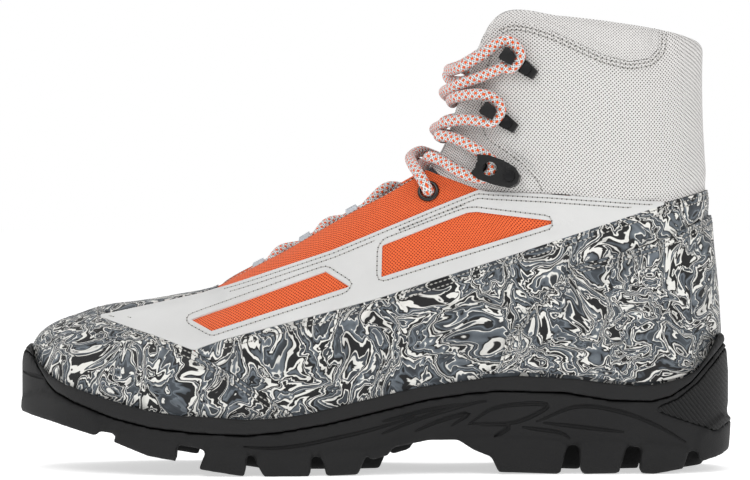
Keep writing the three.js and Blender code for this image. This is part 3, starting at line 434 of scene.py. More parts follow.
looks = {
    "print": printedFilm("marbledPrint", (0.31, 0.0, 0.12)),
    "toePrint": printedFilm("marbledToePrint", (0.02, 0.4, 0.05), scale=40.0, bands=7.6),
    "wrapPrint": printedFilm("marbledHeelPrint", (0.6, 0.1, 0.3), scale=42.0, bands=7.4),
    # knit meshes: the first colour is painted shade in the weave's holes, the second the yarn's own colour, the third a
    # painted highlight on the yarn tops
    "orange": knitMesh("orangeMesh", "7c1404", "d9441a", "f2703c", 0.00152),
    "paleMesh": knitMesh("paleMesh", "55524f", "c7c4c1", "e2e0de", 0.00155),
    "collarKnit": knitMesh("collarKnit", "6d6a68", "cdcbc8", "e4e2e0", 0.0013),
    "liningKnit": knitMesh("liningKnit", "3b3c40", "6a6c71", "83858a", 0.0011, press=(-5, 1)),
    "leather": grained("paleLeather", "d3d3d2", 0.5, 1500.0, 0.00005, coat=0.05, spread=0.04),
    "rubber": grained("treadRubber", "0d0d0e", 0.66, 1100.0, 0.00005, spread=0.25),
    "rand": grained("randRubber", "111112", 0.6, 1300.0, 0.00004, spread=0.2),
    "plastic": grained("blackHardware", "09090a", 0.38, 1800.0, 0.00003, spread=0.2),
    "gloss": grained("glossEyelet", "0c0c0d", 0.14, 400.0, 0.00001, coat=0.4, spread=0.2),
    "rivet": grained("blackRivet", "18181a", 0.33, 900.0, 0.00002, metallic=0.4, spread=0.2),
    "thread": grained("paleThread", "b3b1ac", 0.8, 2500.0, 0.00004, sheen=0.3),
    # dark beads at the ends of the stitches: painted shade standing for the needle holes
    "needleHoleShade": grained("needleHoleShade", "3a3937", 0.9, 2500.0, 0.00002),
    "lace": braidedLace(),
    "ribs": ribbedPlastic(),
    "board": grained("fibreBoard", "8a7a63", 0.9, 700.0, 0.00008),
    "foam": grained("openFoam", "c9c4b4", 0.95, 900.0, 0.0002),
    "stiffener": grained("stiffenerSheet", "c2b9a6", 0.7, 600.0, 0.00005),
    "steel": grained("springSteel", "a9abad", 0.35, 300.0, 0.00002, metallic=1.0),
    # the same painted shade in the holes and painted highlight on the yarn tops as the knit meshes above
    "tonguePad": knitMesh("tongueMesh", "55524f", "c2bfbc", "dedcda", 0.00155, press=(-5, 1)),
    "footbed": grained("footbedKnit", "34353a", 0.95, 800.0, 0.00015, sheen=0.3),
    "webbing": grained("wovenTape", "c3c8ce", 0.85, 1600.0, 0.0001, sheen=0.2),
    "aglet": grained("lacquerTip", "1c1c1f", 0.2, 500.0, 0.00001, coat=0.5),
}
print("materials made")


def strung(points, step):
    # a centripetal curve through the points, then evenly spaced along its length
    points = np.asarray(points, float)
    ends = np.vstack([2 * points[0] - points[1], points, 2 * points[-1] - points[-2]])
    out = []
    for p0, p1, p2, p3 in zip(ends, ends[1:], ends[2:], ends[3:]):
        a, b, c = [max(np.linalg.norm(q - p) ** 0.5, 1e-6) for p, q in ((p0, p1), (p1, p2), (p2, p3))]
        m1 = (p1 - p0) / a - (p2 - p0) / (a + b) + (p2 - p1) / b
        m2 = (p2 - p1) / b - (p3 - p1) / (b + c) + (p3 - p2) / c
        t = np.linspace(0, 1, 12, endpoint=False)[:, None]
        out.append((2 * t ** 3 - 3 * t ** 2 + 1) * p1 + (t ** 3 - 2 * t ** 2 + t) * m1 * b
            + (3 * t ** 2 - 2 * t ** 3) * p2 + (t ** 3 - t ** 2) * m2 * b)
    line = np.vstack(out + [points[-1:]])
    along = np.concatenate([[0], np.cumsum(np.linalg.norm(np.diff(line, axis=0), axis=1))])
    marks = np.linspace(0, along[-1], max(4, int(along[-1] / step) + 1))
    return np.stack([np.interp(marks, along, line[:, i]) for i in range(3)], 1)


def alongFrames(line):
    # two cross directions carried along a line without twist
    tangents = np.gradient(line, axis=0)
    tangents /= np.linalg.norm(tangents, axis=1)[:, None]
    first = np.cross(tangents[0], [0.3, 0.9, 0.2])
    sides = []
    for t in tangents:
        first = first - t * (first @ t)
        first = first / np.linalg.norm(first)
        sides.append(first)
    sides = np.array(sides)
    return sides, np.cross(tangents, sides)


def tube(name, line, radius, around):
    # a round tube along a line in metres; its UV is metres along it and turns round it
    sides, ups = alongFrames(line)
    radii = np.broadcast_to(np.asarray(radius, float), (len(line),))
    bm = bmesh.new()
    bmesh.ops.create_grid(bm, x_segments=len(line) - 1, y_segments=around, size=0.5)
    uv = bm.loops.layers.uv.new("UVMap")
    gone = np.concatenate([[0], np.cumsum(np.linalg.norm(np.diff(line, axis=0), axis=1))])
    places = {w: (int(round((w.co.x + 0.5) * (len(line) - 1))), w.co.y + 0.5) for w in bm.verts}
    for face in bm.faces:
        for corner in face.loops:
            i, turn = places[corner.vert]
            corner[uv].uv = (gone[i], turn)
    for w, (i, turn) in places.items():
        angle = 2 * math.pi * turn
        w.co = line[i] + radii[i] * (math.cos(angle) * sides[i] + math.sin(angle) * ups[i])
    bmesh.ops.remove_doubles(bm, verts=bm.verts, dist=1e-7)
    bmesh.ops.holes_fill(bm, edges=[e for e in bm.edges if e.is_boundary], sides=0)
    bmesh.ops.recalc_face_normals(bm, faces=bm.faces[:])
    return toObject(bm, name)


# the lace, from the tail behind the inner facing down to the toe and up the other side

cord = {"diameter": 0.0048, "around": 20, "step": 0.0006}
laceRoute = [
    (198.9, 13.4, 158.4), (198.2, 13.1, 162.8), (196, 12.2, 167.5), (192.5, 10.8, 171), (188.5, 7, 172),
    (185, 0, 171.2), (187, -13, 171.3), (190.6, -21.2, 172.9), (194.8, -24.3, 175.4), (199.6, -26.3, 178.4),
    (205, -28.8, 182.4), (209.3, -30, 183.8), (212.8, -30.9, 181.6), (214.8, -31.6, 178),
    (213.6, -31.6, 174.7), (210.8, -31.2, 172.2), (207, -30.2, 172.2), (203, -28.8, 170.4),
    (195.6, -25.4, 167.4), (189.3, -21.6, 165.2), (184.8, -13, 163), (182.8, 0, 161.4), (185.6, 13, 159),
    (188.3, 21.5, 160), (194.5, 27, 161), (199.7, 29.8, 160.8), (204.4, 30.8, 158.5), (206.5, 31.4, 155),
    (205.3, 31.3, 151.5), (202.3, 31, 149), (198.2, 30.2, 149.6), (191.8, 27, 150.2), (186.3, 23, 149.5),
    (183.2, 19.4, 148.4), (181.5, 13, 145.4), (182.6, 0, 142), (180.6, -13, 142.9), (181, -20.3, 143.2),
    (185.3, -23.8, 142.6), (190.5, -28, 140.8), (195.5, -31, 138), (199.7, -31.8, 135.4),
    (202.6, -32.4, 132.8), (202.8, -32.8, 128.9), (200.1, -32.8, 125.9), (196.3, -32.4, 125.7),
    (191.6, -31.2, 126.9), (186.6, -28.4, 129.3), (182.5, -24.8, 131.9), (176.9, -20.8, 134.2),
    (175.3, -13, 132.4), (173.6, 0, 130), (170.6, 14.5, 131), (171, 22.6, 127.9), (173.4, 25.6, 124.2),
    (175.2, 26.4, 120.9), (176.2, 21.6, 119.1), (177.1, 17, 117.6), (177.9, 14, 116.6), (174.2, 11, 117.2),
    (168, 7.5, 119), (158.6, 0, 120.6), (147.2, -9.9, 110.4), (144.2, -10.3, 108.7), (141.2, -9.9, 106.8),
    (135.4, 0.3, 100.8), (127, 10.2, 98.7), (124.2, 10.4, 97), (121.2, 10, 95.3), (112.9, 1.6, 93.6),
    (107.2, -6.9, 87.5), (104.2, -6.9, 85.7), (101.3, -6.6, 83.9), (99.8, -3.5, 82.8), (99.4, 1.5, 82.3),
    (99.8, 6.5, 82.8), (101.3, 9.6, 83.9), (104.2, 9.9, 85.7), (107, 9.6, 87.4), (115.5, 1.4, 89.2),
    (121.2, -8.7, 95.3), (124.2, -9.1, 97), (127, -8.9, 98.7), (132.8, 0.3, 105.2), (141.2, 9.8, 106.8),
    (144.2, 10.2, 108.7), (147.2, 9.8, 110.4), (161.5, 0, 116), (168.5, -8, 117.4), (174.3, -11.8, 116.4),
    (178.2, -14.6, 115.9), (177.3, -17.7, 117.2), (176.2, -22.2, 119), (175.2, -27, 121), (173.4, -26, 124.3),
    (171.2, -22.4, 127.7), (169, -15, 131.2), (168.6, 0, 133.8), (172.8, 13, 135.8), (177, 20.8, 134.4),
    (182.5, 24.8, 131.9), (186.7, 27.6, 129.3), (191.6, 29.4, 127), (196.3, 30.2, 125.7), (200.1, 30.8, 125.9),
    (202.8, 31, 128.9), (202.6, 30.7, 132.8), (199.7, 30.2, 135.4), (195.5, 29.4, 138), (190.5, 27.2, 140.8),
    (185.3, 23.8, 142.6), (180.9, 20.2, 143.4), (179.3, 13, 144.8), (179, 0, 145.9), (181.2, -13, 147.4),
    (183.4, -19.6, 148.8), (186.3, -23.2, 149.6), (191.8, -27.4, 150.2), (198.2, -31, 149.6),
    (202.3, -32, 149), (205.3, -32.2, 151.5), (206.5, -32.1, 155), (204.4, -31.4, 158.5),
    (199.7, -30.5, 160.8), (194.5, -27.6, 161), (188.3, -21.7, 159.9), (185.8, -13, 158.6), (186.4, 0, 157.2),
    (185.4, 13, 162.4), (189.4, 21.5, 165.3), (195.6, 25.5, 167.2), (203, 28.6, 170.4), (207, 30, 172.2),
    (210.8, 31, 172.2), (213.6, 31.4, 174.7), (214.8, 31.5, 178), (212.8, 30.7, 181.6), (209.3, 29.8, 183.8),
    (205, 28.6, 182.4), (199.6, 26.2, 178.4), (194.8, 24.2, 175.4), (190.4, 21, 172.9), (186, 14, 171),
    (184.4, 8, 168.4), (186.4, 0, 166.3), (189.5, -8, 166), (193.5, -12.2, 164.8), (197.2, -13.8, 161.6),
    (198.7, -14.1, 157.8),
]

def makeLace():
    line = strung(place(laceRoute), cord["step"])
    piece = tube("lace_cord", line, cord["diameter"] / 2, cord["around"])
    wear(piece, "boot", looks["lace"], "lace_textile", "lace")


makeLace()
print("lace made")


# the boot's form
# One rib per row, from the feather line, where upper meets sole, to the top line: ridge, throat edge, collar.
# Columns: feather x, outer y, inner y, z; top x, half gap, z; turn, top turn, face, tilt; rise, bulge, roof, drop;
# middle. Millimetres and degrees.

ribs = np.array([
    (5.8, 6, 6, 52.7, 46.5, 0, 69.9, 0, 0, 0, 90, 9.8, -3.2, 22.5, 2.4, 6),
    (12, -18, 27, 43.3, 52, 0, 70.4, 40, 26, 26, 90, 16, 0.6, 24, 1.8, 5.5),
    (25, -33, 39, 36.7, 60, 0, 71.6, 60, 46, 46, 90, 20, 1.8, 26, 1.4, 5),
    (45, -43.5, 46, 30.5, 70, 0, 73.6, 74, 64, 64, 90, 24, 2.4, 28, 1.2, 4),
    (75, -50, 50, 25.4, 84, 0, 76.8, 86, 80, 80, 90, 28, 2.5, 27, 1.4, 3),
    (93, -51.5, 49.4, 24, 93, 11, 82.4, 90, 88, 88, 82, 30, 2.2, 20, 3, 2),
    (115, -50.5, 45.5, 24.8, 115, 15, 94.3, 92, 90, 90, 71, 32, 1, 16, 6, 1),
    (140, -47.5, 38.5, 30, 140, 17, 109.2, 92, 91, 88, 57, 34, 0, 13, 10, 0),
    (163, -43.3, 33.3, 35.2, 163, 18, 122, 92, 96, 84, 42, 36, -0.5, 11, 16, 0),
    (185, -40, 31.2, 39, 180.5, 18.5, 135.5, 91, 110, 70, 30, 38, -1, 12, 25, 0),
    (203, -38, 31.5, 41.3, 190.3, 19, 163, 90, 124, 52, 10, 40, -1, 15, 36, 0),
    (220, -37, 33, 41.5, 205, 21, 194.5, 90, 116, 55, 0, 40, -1, 12, 46, 0),
    (240, -36.5, 34.8, 40.2, 232, 30, 194.3, 90, 98, 84, 0, 38, -0.5, 3, 46, 0),
    (262, -37, 35.8, 37.7, 260, 32.5, 191, 95, 92, 92, 0, 36, 0.5, -1, 48, 0),
    (283, -31, 30, 40.2, 280, 25, 187.6, 124, 122, 122, 0, 32, 1, -2, 50, 0),
    (295.5, -17.5, 17, 50, 290.5, 12.5, 184.6, 152, 154, 154, 0, 30, 0.5, -2.4, 52, 0),
    (300.2, 0, 0, 58.3, 292.9, 0, 183, 180, 180, 180, 0, 29.7, 0, -2.4, 53, 0),
], float)
heelRib = len(ribs) - 1
ridgeEnd = 4
oddColumns = [1, 2, 5, 7, 8, 9]              # these change sign across the ridge and the heel
layers = {"panelBack": -1.6, "overlayFront": 1.4, "overlayBack": 0.15, "liningFront": -3.2, "liningBack": -4.8,
    "foam": 5.5}


def ribValues(u):
    def mirrored(at, beyond):
        row = beyond.copy()
        row[oddColumns] = 2 * at[oddColumns] - beyond[oddColumns]
        return row
    rows = np.vstack([mirrored(ribs[0], ribs[1]), ribs, mirrored(ribs[heelRib], ribs[heelRib - 1])])
    k = np.clip(np.floor(u).astype(int), 0, heelRib - 1)
    f = (u - k)[:, None]
    a, b, d, e = rows[k], rows[k + 1], rows[k + 2], rows[k + 3]
    return b + 0.5 * f * (d - a + f * (2 * a - 5 * b + 4 * d - e + f * (3 * (b - d) + e - a)))


def onRing(s):
    turned = np.mod(s + heelRib, 2 * heelRib) - heelRib
    return np.abs(turned), np.where(turned >= 0, -1.0, 1.0)


def skin(s, v, offset=0.0):
    # points of the upper, drawn millimetres; s round the boot, v from feather (0) to top line (1), below 0 in mm / 100
    s, v = np.broadcast_arrays(np.atleast_1d(np.asarray(s, float)), np.asarray(v, float))
    offset = np.broadcast_to(np.asarray(offset, float), s.shape)[:, None]
    u, side = onRing(s)
    row = ribValues(u)
    turns = np.radians(row[:, 7:10])
    out, topOut, faceOut = [np.stack([-np.cos(t), side * np.sin(t), 0 * t], 1) for t in turns.T]
    ridge = u <= ridgeEnd
    lean = np.radians(np.where(ridge, 90, np.minimum(row[:, 10], 90)))
    gap = np.where(ridge, 0, np.maximum(row[:, 5], 0))
    foot = np.stack([row[:, 0], np.where(side < 0, row[:, 1], row[:, 2]), row[:, 3]], 1)
    head = np.stack([row[:, 4], row[:, 15] + side * gap, row[:, 6]], 1)
    up = np.array([0, 0, 1.0])
    headNormal = faceOut * np.cos(lean)[:, None] + up * np.sin(lean)[:, None]
    t = np.clip(v, 0, 1)[:, None]
    blendShare = t * t * (3 - 2 * t)
    normal = out * (1 - blendShare) + headNormal * blendShare
    normal /= np.linalg.norm(normal, axis=1)[:, None]
    low = foot + out * row[:, 12:13] + up * row[:, 11:12]
    high = head + topOut * row[:, 13:14] - up * row[:, 14:15]
    point = foot * (1 - t) ** 3 + low * 3 * t * (1 - t) ** 2 + high * 3 * t * t * (1 - t) + head * t ** 3
    point = point + up * np.minimum(v, 0)[:, None] * 100
    return point + normal * offset


def smoothStep(value, low, high):
    t = np.clip((value - low) / (high - low), 0, 1)
    return t * t * (3 - 2 * t)


def padding(s, v):
    u = onRing(s)[0]
    high = smoothStep(v, 0.45, 0.72) * (1 - 0.55 * smoothStep(v, 0.86, 1))
    return layers["foam"] * smoothStep(u, 9, 12.5) * high


def girth(s):
    # length of the rib from feather to top line, mm
    steps = np.linspace(0, 1, 9)
    rows = np.array([skin(s, np.full(len(s), v)) for v in steps])
    return np.linalg.norm(np.diff(rows, axis=0), axis=2).sum(0)


ringHeight = 0.55                             # the row along which cloth is measured round the boot
girthSteps = np.linspace(-heelRib, 2 * heelRib, 3 * heelRib * 8 + 1)
girthTable = girth(girthSteps)
ringLine = skin(girthSteps, np.full(len(girthSteps), ringHeight))
ringTable = np.concatenate([[0], np.cumsum(np.linalg.norm(np.diff(ringLine, axis=0), axis=1))])


def clothMap(s, v):
    # the cloth's own directions: along the boot and up the rib, metres
    return np.stack([np.interp(s, girthSteps, ringTable), v * np.interp(s, girthSteps, girthTable)], 1) * mm


def rolled(s, v, offset):
    # turns a layer over the throat and collar, towards the middle of the upper's thickness
    thickness = padding(s, v) - layers["liningBack"]
    below = (1 - v) * np.interp(s, girthSteps, girthTable)
    share = np.clip(1 - 2 * below / thickness, 0, 1) * smoothStep(onRing(s)[0], 3.9, 4.8)
    middle = -thickness / 2
    return middle + (offset - middle) * np.sqrt(1 - share ** 2)


# side-view outlines

seams = {
    "toe": [(35, 100), (37.9, 66.4), (58, 59.5), (76.3, 52.4), (95.8, 41.1), (117.2, 27), (128, 15)],
    "side": [(76.3, 52.4), (89.4, 57), (120, 65), (153.6, 74.1), (215, 94), (276.7, 114.9), (293, 119.1), (330, 128)],
    "strap": [(36, 65.6), (40.5, 66.4), (79.1, 74.6), (85.5, 76.7), (134.4, 93.7), (197.8, 120.4), (201, 119.7),
        (225, 118.7), (276.5, 115.2)],
    "collar": [(180, 184.4), (199, 184.4), (205.1, 189.4), (211.1, 191.8), (219.2, 190.7), (229.5, 187.3),
        (240.6, 182.1), (250.9, 177.4), (261.2, 174.9), (269.4, 176.1), (273.4, 180), (274.1, 188), (274.1, 215)],
    "ankle": [(223.1, 119.1), (221.6, 123), (215.8, 129.9), (207.2, 136.3), (201.2, 139.7), (198.2, 144),
        (196.9, 154.7), (199.1, 171.4), (203.8, 184.4)],
    "wrap": [(204, 30), (205.5, 45), (208.9, 58.3), (219.2, 70.7), (229.5, 80.6), (238, 88.2), (256.1, 93.4),
        (271.5, 97.7), (297.2, 109.3), (330, 123)],
    "frontWindow": [(74.8, 64.3), (132.2, 85.3), (142.5, 79.1), (83.8, 60)],
    "backWindow": [(155.8, 83.1), (156.2, 96.4), (192.6, 110.6), (196.5, 111), (231.2, 107.1)],
}
instepCorner = (175, 128.6)


def shifted(line, dx, dz):
    return [(x + dx, z + dz) for x, z in line]


def flipped(line):
    return list(reversed(line))


def segmentsOf(line, closed):
    a = np.array(line, float)
    b = np.roll(a, -1, axis=0) if closed else a[1:]
    return (a, b) if closed else (a[:-1], b)


def nearness(points, line, closed=False):
    # distance in the side view from points (n, 3) to a line
    a, b = segmentsOf(line, closed)
    p = points[:, None, [0, 2]]
    run = b - a
    t = np.clip(((p - a) * run).sum(2) / np.maximum((run ** 2).sum(1), 1e-9), 0, 1)
    return np.linalg.norm(p - (a + t[..., None] * run), axis=2).min(1)


def inside(points, outline):
    a, b = segmentsOf(outline, True)
    x, z = points[:, 0][:, None], points[:, 2][:, None]
    crosses = (a[:, 1] > z) != (b[:, 1] > z)
    rise = np.where(b[:, 1] == a[:, 1], 1e-9, b[:, 1] - a[:, 1])
    at = a[:, 0] + (z - a[:, 1]) * (b[:, 0] - a[:, 0]) / rise
    return ((crosses & (x < at)).sum(1) % 2) == 1


def reachIn(points, outline, holes=()):
    # millimetres inside the outline, negative outside
    depth = nearness(points, outline, True) * np.where(inside(points, outline), 1, -1)
    for hole in holes:
        depth = np.minimum(depth, nearness(points, hole, True) * np.where(inside(points, hole), -1, 1))
    return depth


# panels

sheet = {"ribSpacing": 22, "ribLength": 125, "packed": 0.06, "openDepth": 30.0}    # mm for one step of s and of v


def ringSpan(side, low, high):
    return (low, high) if side < 0 else (-high, -low)


def borderLoops(bm):
    # the open borders of a flat sheet, each as a list of vertices in order
    follow = {}
    for edge in bm.edges:
        if edge.is_boundary:
            for vert in edge.verts:
                follow.setdefault(vert, []).append(edge.other_vert(vert))
    loops, seen = [], set()
    for start in follow:
        if start in seen:
            continue
        loop, last, here = [], None, start
        while here is not None and here not in seen:
            seen.add(here)
            loop.append(here)
            onward = [v for v in follow[here] if v is not last and v not in seen]
            last, here = here, (onward[0] if onward else None)
        loops.append(loop)
    return loops


def settle(s, v, depth, level=0.0, rounds=4):
    # moves ring places until they lie at that depth inside the outline
    small, ribSpacing, ribLength = 0.004, 20.0, 110.0
    ws, wv = 1 / ribSpacing ** 2, 1 / ribLength ** 2
    for _ in range(rounds):
        here = depth(s, v) - level
        ds = (depth(s + small, v) - depth(s - small, v)) / (2 * small)
        dv = (depth(s, v + small / 4) - depth(s, v - small / 4)) / (small / 2)
        scale = ds ** 2 * ws + dv ** 2 * wv
        step = here / np.maximum(scale, 0.3)
        s, v = s - np.clip(step * ds * ws, -0.1, 0.1), v - np.clip(step * dv * wv, -0.02, 0.02)
    return s, v


def panelSheet(span, rows, depth, cell, turned):
    # a flat grid in (s, v), trimmed to where depth is above 0; turned packs its rows towards the top line
    (s0, s1), (v0, v1) = span, rows
    packed = sheet["packed"] if turned else 0
    bottom = 1 - v0 + packed / 2

    def spread(flat):
        s = s0 + (flat[:, 0] + 0.5) * (s1 - s0)
        if not turned:
            return s, v0 + (flat[:, 1] + 0.5) * (v1 - v0)
        w = bottom * (0.5 - flat[:, 1])
        return s, v1 - np.where(w > packed, w - packed / 2, w * w / (2 * packed))

    bm = bmesh.new()
    acrossCells = int(abs(s1 - s0) * sheet["ribSpacing"] / cell)
    upCells = int((abs(v1 - v0) + packed / 2) * sheet["ribLength"] / cell)
    bmesh.ops.create_grid(bm, x_segments=acrossCells, y_segments=upCells, size=0.5)
    s, v = spread(np.array([w.co for w in bm.verts]))
    if depth is not None:
        within = depth(s, v)
        outside = [f for f in bm.faces if sum(within[w.index] for w in f.verts) < 0]
        bmesh.ops.delete(bm, geom=outside, context="FACES")
        bm.verts.index_update()
        kept = np.array([w.co for w in bm.verts])
        s, v = spread(kept)
        onGridEdge = (np.abs(kept[:, :2]) > 0.4999).any(1)
        within = depth(s, v)
        rim = np.array([w.is_boundary for w in bm.verts])
        snap = np.where(rim & (np.abs(within) < 2.2 * cell) & ~onGridEdge)[0]
        s[snap], v[snap] = settle(s[snap], v[snap], depth)
    for w, a, b in zip(bm.verts, s, v):
        w.co = (a, b, 0)
    if depth is not None:
        near = [w for w in bm.verts if not w.is_boundary and any(e.other_vert(w).is_boundary for e in w.link_edges)]
        bmesh.ops.smooth_vert(bm, verts=near, factor=0.5, use_axis_x=True, use_axis_y=True)
    return bm


borders = {}                                  # each panel's rim, for its stitching


def panel(name, span, rows, front, back, outline=None, holes=(), cell=0.9, bevel=0.35, turned=False):
    # a closed panel that follows the skin between two offsets, with a rounded front rim
    depth = (lambda s, v: reachIn(skin(s, v), outline, holes)) if outline is not None else None
    bm = panelSheet(span, rows, depth, cell, turned)
    flat = np.array([w.co for w in bm.verts])
    s, v = flat[:, 0], flat[:, 1]
    borders[name] = {"loops": [np.array([w.co[:2] for w in loop]) for loop in borderLoops(bm)],
        "depth": depth, "front": front}
    within = depth(s, v) if depth is not None else np.full(len(s), sheet["openDepth"])
    cloth = clothMap(s, v)
    seam = bm.verts.layers.float.new("seam")
    uv = bm.loops.layers.uv.new("UVMap")
    for face in bm.faces:
        for corner in face.loops:
            corner[uv].uv = cloth[corner.vert.index]
    home = bm.verts.layers.int.new("home")
    for i, w in enumerate(bm.verts):
        w[seam] = within[i]
        w[home] = i
    under = list(bm.verts)
    moved = bmesh.ops.extrude_face_region(bm, geom=bm.faces[:])["geom"]
    over = {w for w in moved if isinstance(w, bmesh.types.BMVert)}
    frontPoints = place(skin(s, v, front(s, v, within)))
    backPoints = place(skin(s, v, back(s, v, within)))
    for w, point in zip(under, backPoints):
        w.co = point
    for w in over:
        w.co = frontPoints[w[home]]
    bmesh.ops.recalc_face_normals(bm, faces=bm.faces[:])
    if bevel:
        rim = [e for e in bm.edges if e.verts[0] in over and e.verts[1] in over and e.calc_face_angle(0) > 0.9]
        bmesh.ops.bevel(bm, geom=rim, offset=bevel * mm, offset_type="OFFSET", segments=2, profile=0.5,
            affect="EDGES", material=-1, clamp_overlap=True)
    bm.verts.layers.int.remove(home)
    return smoothByAngle(toObject(bm, name), 50)


def level(height, raised=0.0, puff=0.0, turned=False, dip=0.0):
    # a panel's surface: raised or dipped beside its rim, or puffed away from it
    def offset(s, v, within):
        beside = 1 - smoothStep(within, 3, 13)
        out = height + raised * beside + puff * smoothStep(within, 0.5, 9) - dip * np.exp(-(within / 1.5) ** 2)
        return rolled(s, v, out) if turned else out
    return offset


# stitching

stitching = {"pitch": 2.05, "length": 1.4, "width": 0.6, "height": 0.36, "holeWidth": 0.66, "holeHeight": 0.26,
    "lift": 0.05, "rounds": 3}
threadRows = []


def surfaceFrames(path, front, depth, lift):
    # where each stitch of a row sits: position, run, and way out of the surface
    s, v = path[:, 0], path[:, 1]
    within = depth(s, v) if depth is not None else np.full(len(s), sheet["openDepth"])
    here = skin(s, v, front(s, v, within))
    step = 0.01
    bySide = skin(s + step, v, front(s + step, v, within)) - here
    byRow = skin(s, v - step / 6, front(s, v - step / 6, within)) - here
    outward = skin(s, v, 1.0) - skin(s, v, 0.0)
    out = np.cross(bySide, byRow)
    flatSpots = np.linalg.norm(out, axis=1) < 1e-7
    out[flatSpots] = outward[flatSpots]
    out /= np.linalg.norm(out, axis=1)[:, None]
    out *= np.sign((out * outward).sum(1))[:, None]
    run = np.gradient(here, axis=0)
    run -= out * (run * out).sum(1)[:, None]
    run /= np.maximum(np.linalg.norm(run, axis=1)[:, None], 1e-9)
    return here + out * lift, run, out


def resampled(path, pitch):
    # evenly spaced along the skin, by true length
    points = skin(path[:, 0], path[:, 1])
    along = np.concatenate([[0], np.cumsum(np.linalg.norm(np.diff(points, axis=0), axis=1))])
    keep = np.concatenate([[True], np.diff(along) > 1e-6])
    along, path = along[keep], path[keep]
    marks = np.linspace(0, along[-1], max(2, int(round(along[-1] / pitch)) + 1))
    return np.stack([np.interp(marks, along, path[:, 0]), np.interp(marks, along, path[:, 1])], 1)


def rowsBeside(name, line, inset, reach=0.5):
    # the runs of a panel's border that follow a line, moved in from the rim
    edge = borders[name]
    runs = []
    for loop in edge["loops"]:
        loop = np.vstack([loop, loop[:1]])
        s, v = settle(loop[:, 0], loop[:, 1], edge["depth"], inset, 6)
        points = skin(s, v)
        good = (np.abs(nearness(points, line) - inset) < reach) & (np.abs(edge["depth"](s, v) - inset) < 0.4)
        path, last = [], None
        for i in range(2 * len(s)):
            k = i % len(s)
            if good[k]:
                path.append((s[k], v[k]))
            elif path:
                runs.append(path)
                path = []
            if not good[k] and i >= len(s):
                break
        if good.all():
            runs = runs + [path[:len(s)]]
    unique, seen = [], set()
    for path in sorted(runs, key=len, reverse=True):
        mark = tuple(np.round(path[len(path) // 2], 2))
        if len(path) > 6 and mark not in seen:
            seen.add(mark)
            unique.append(np.array(path))
    return unique


def stitchAlong(path, front, depth):
    path = resampled(path, 1.0)
    for _ in range(stitching["rounds"]):
        path[1:-1] = 0.5 * path[1:-1] + 0.25 * (path[2:] + path[:-2])
    path = resampled(path, stitching["pitch"])
    threadRows.append(surfaceFrames(path, front, depth, stitching["lift"]))


def stitchRows(name, line, *insets):
    for inset in insets:
        for path in rowsBeside(name, line, inset):
            stitchAlong(path, borders[name]["front"], borders[name]["depth"])


def repeated(template, matrices, name):
    # one object with a copy of a small mesh at each place
    bm = bmesh.new()
    rest = np.empty(3 * len(template.vertices), np.float32)
    template.vertices.foreach_get("co", rest)
    for where in matrices:
        template.transform(where)
        bm.from_mesh(template)
        template.vertices.foreach_set("co", rest)
    return toObject(bm, name)


def smallBead(name, size):
    bm = bmesh.new()
    bmesh.ops.create_uvsphere(bm, u_segments=6, v_segments=4, radius=0.5)
    bmesh.ops.rotate(bm, verts=bm.verts, matrix=Matrix.Rotation(math.pi / 2, 3, "Y"))
    bmesh.ops.scale(bm, verts=bm.verts, vec=Vector(size) * mm)
    mesh = bpy.data.meshes.new(name)
    bm.to_mesh(mesh)
    bm.free()
    return mesh


def frameMatrix(where, run, out):
    across = np.cross(out, run)
    turned = Matrix(np.stack([run, across, out], 1).tolist()).to_4x4()
    turned.translation = Vector(place(where[None])[0])
    return turned


def sewn(name, rows):
    # thread beads, and between each two a dark bead that is painted shade standing for the needle hole
    thread, holes = [], []
    for where, run, out in rows:
        for i in range(len(where) - 1):
            middle = (where[i] + where[i + 1]) / 2
            along = where[i + 1] - where[i]
            along = along - out[i] * (along @ out[i])
            along /= max(np.linalg.norm(along), 1e-9)
            thread.append(frameMatrix(middle, along, out[i]))
            holes.append(frameMatrix(where[i], along, out[i]))
    size = (stitching["length"], stitching["width"], stitching["height"])
    wear(repeated(smallBead("threadBead", size), thread, name), "boot", looks["thread"], "lace_textile")
    # the needle holes are small dark beads of painted shade
    hole = (stitching["holeWidth"], stitching["holeWidth"], stitching["holeHeight"])
    wear(repeated(smallBead("holeShadeBead", hole), holes, name + "_holes"), "boot", looks["needleHoleShade"], "lace_textile")


# the upper's panels

def cut(line, first, last):
    return line[first:last]


gap = 0.12                                   # between neighbouring panels
upper = {"capRaise": 1.0, "sideRaise": 1.1, "wrapRaise": 0.25, "anklePuff": 0.9, "strapDip": 0.25}
ridge, heelSeam, topRow = 0.006, heelRib - 0.006, 0.9995
featherTop = [(187.9, 39.4), (200.8, 41.1), (213.6, 41.8), (226.5, 41.1), (239.4, 40.3), (252.2, 38.6), (265, 37.5),
    (273.2, 38.1), (284.8, 40.7), (290.4, 43.9), (293.4, 47.6), (296, 51.9)]


def makeToeCap():
    outline = [(-20, 5), (-20, 100), *shifted(seams["toe"], -gap, -gap), (128, 5)]
    piece = panel("toe_cap_print", (-7.33, 7.33), (-0.02, 0.965), level(0, upper["capRaise"], dip=0.2),
        level(layers["panelBack"]), outline, cell=0.95)
    wear(piece, "boot", looks["toePrint"], "printed_film", "toe_cap")
    stitchRows("toe_cap_print", seams["toe"], 1.3, 3.3)


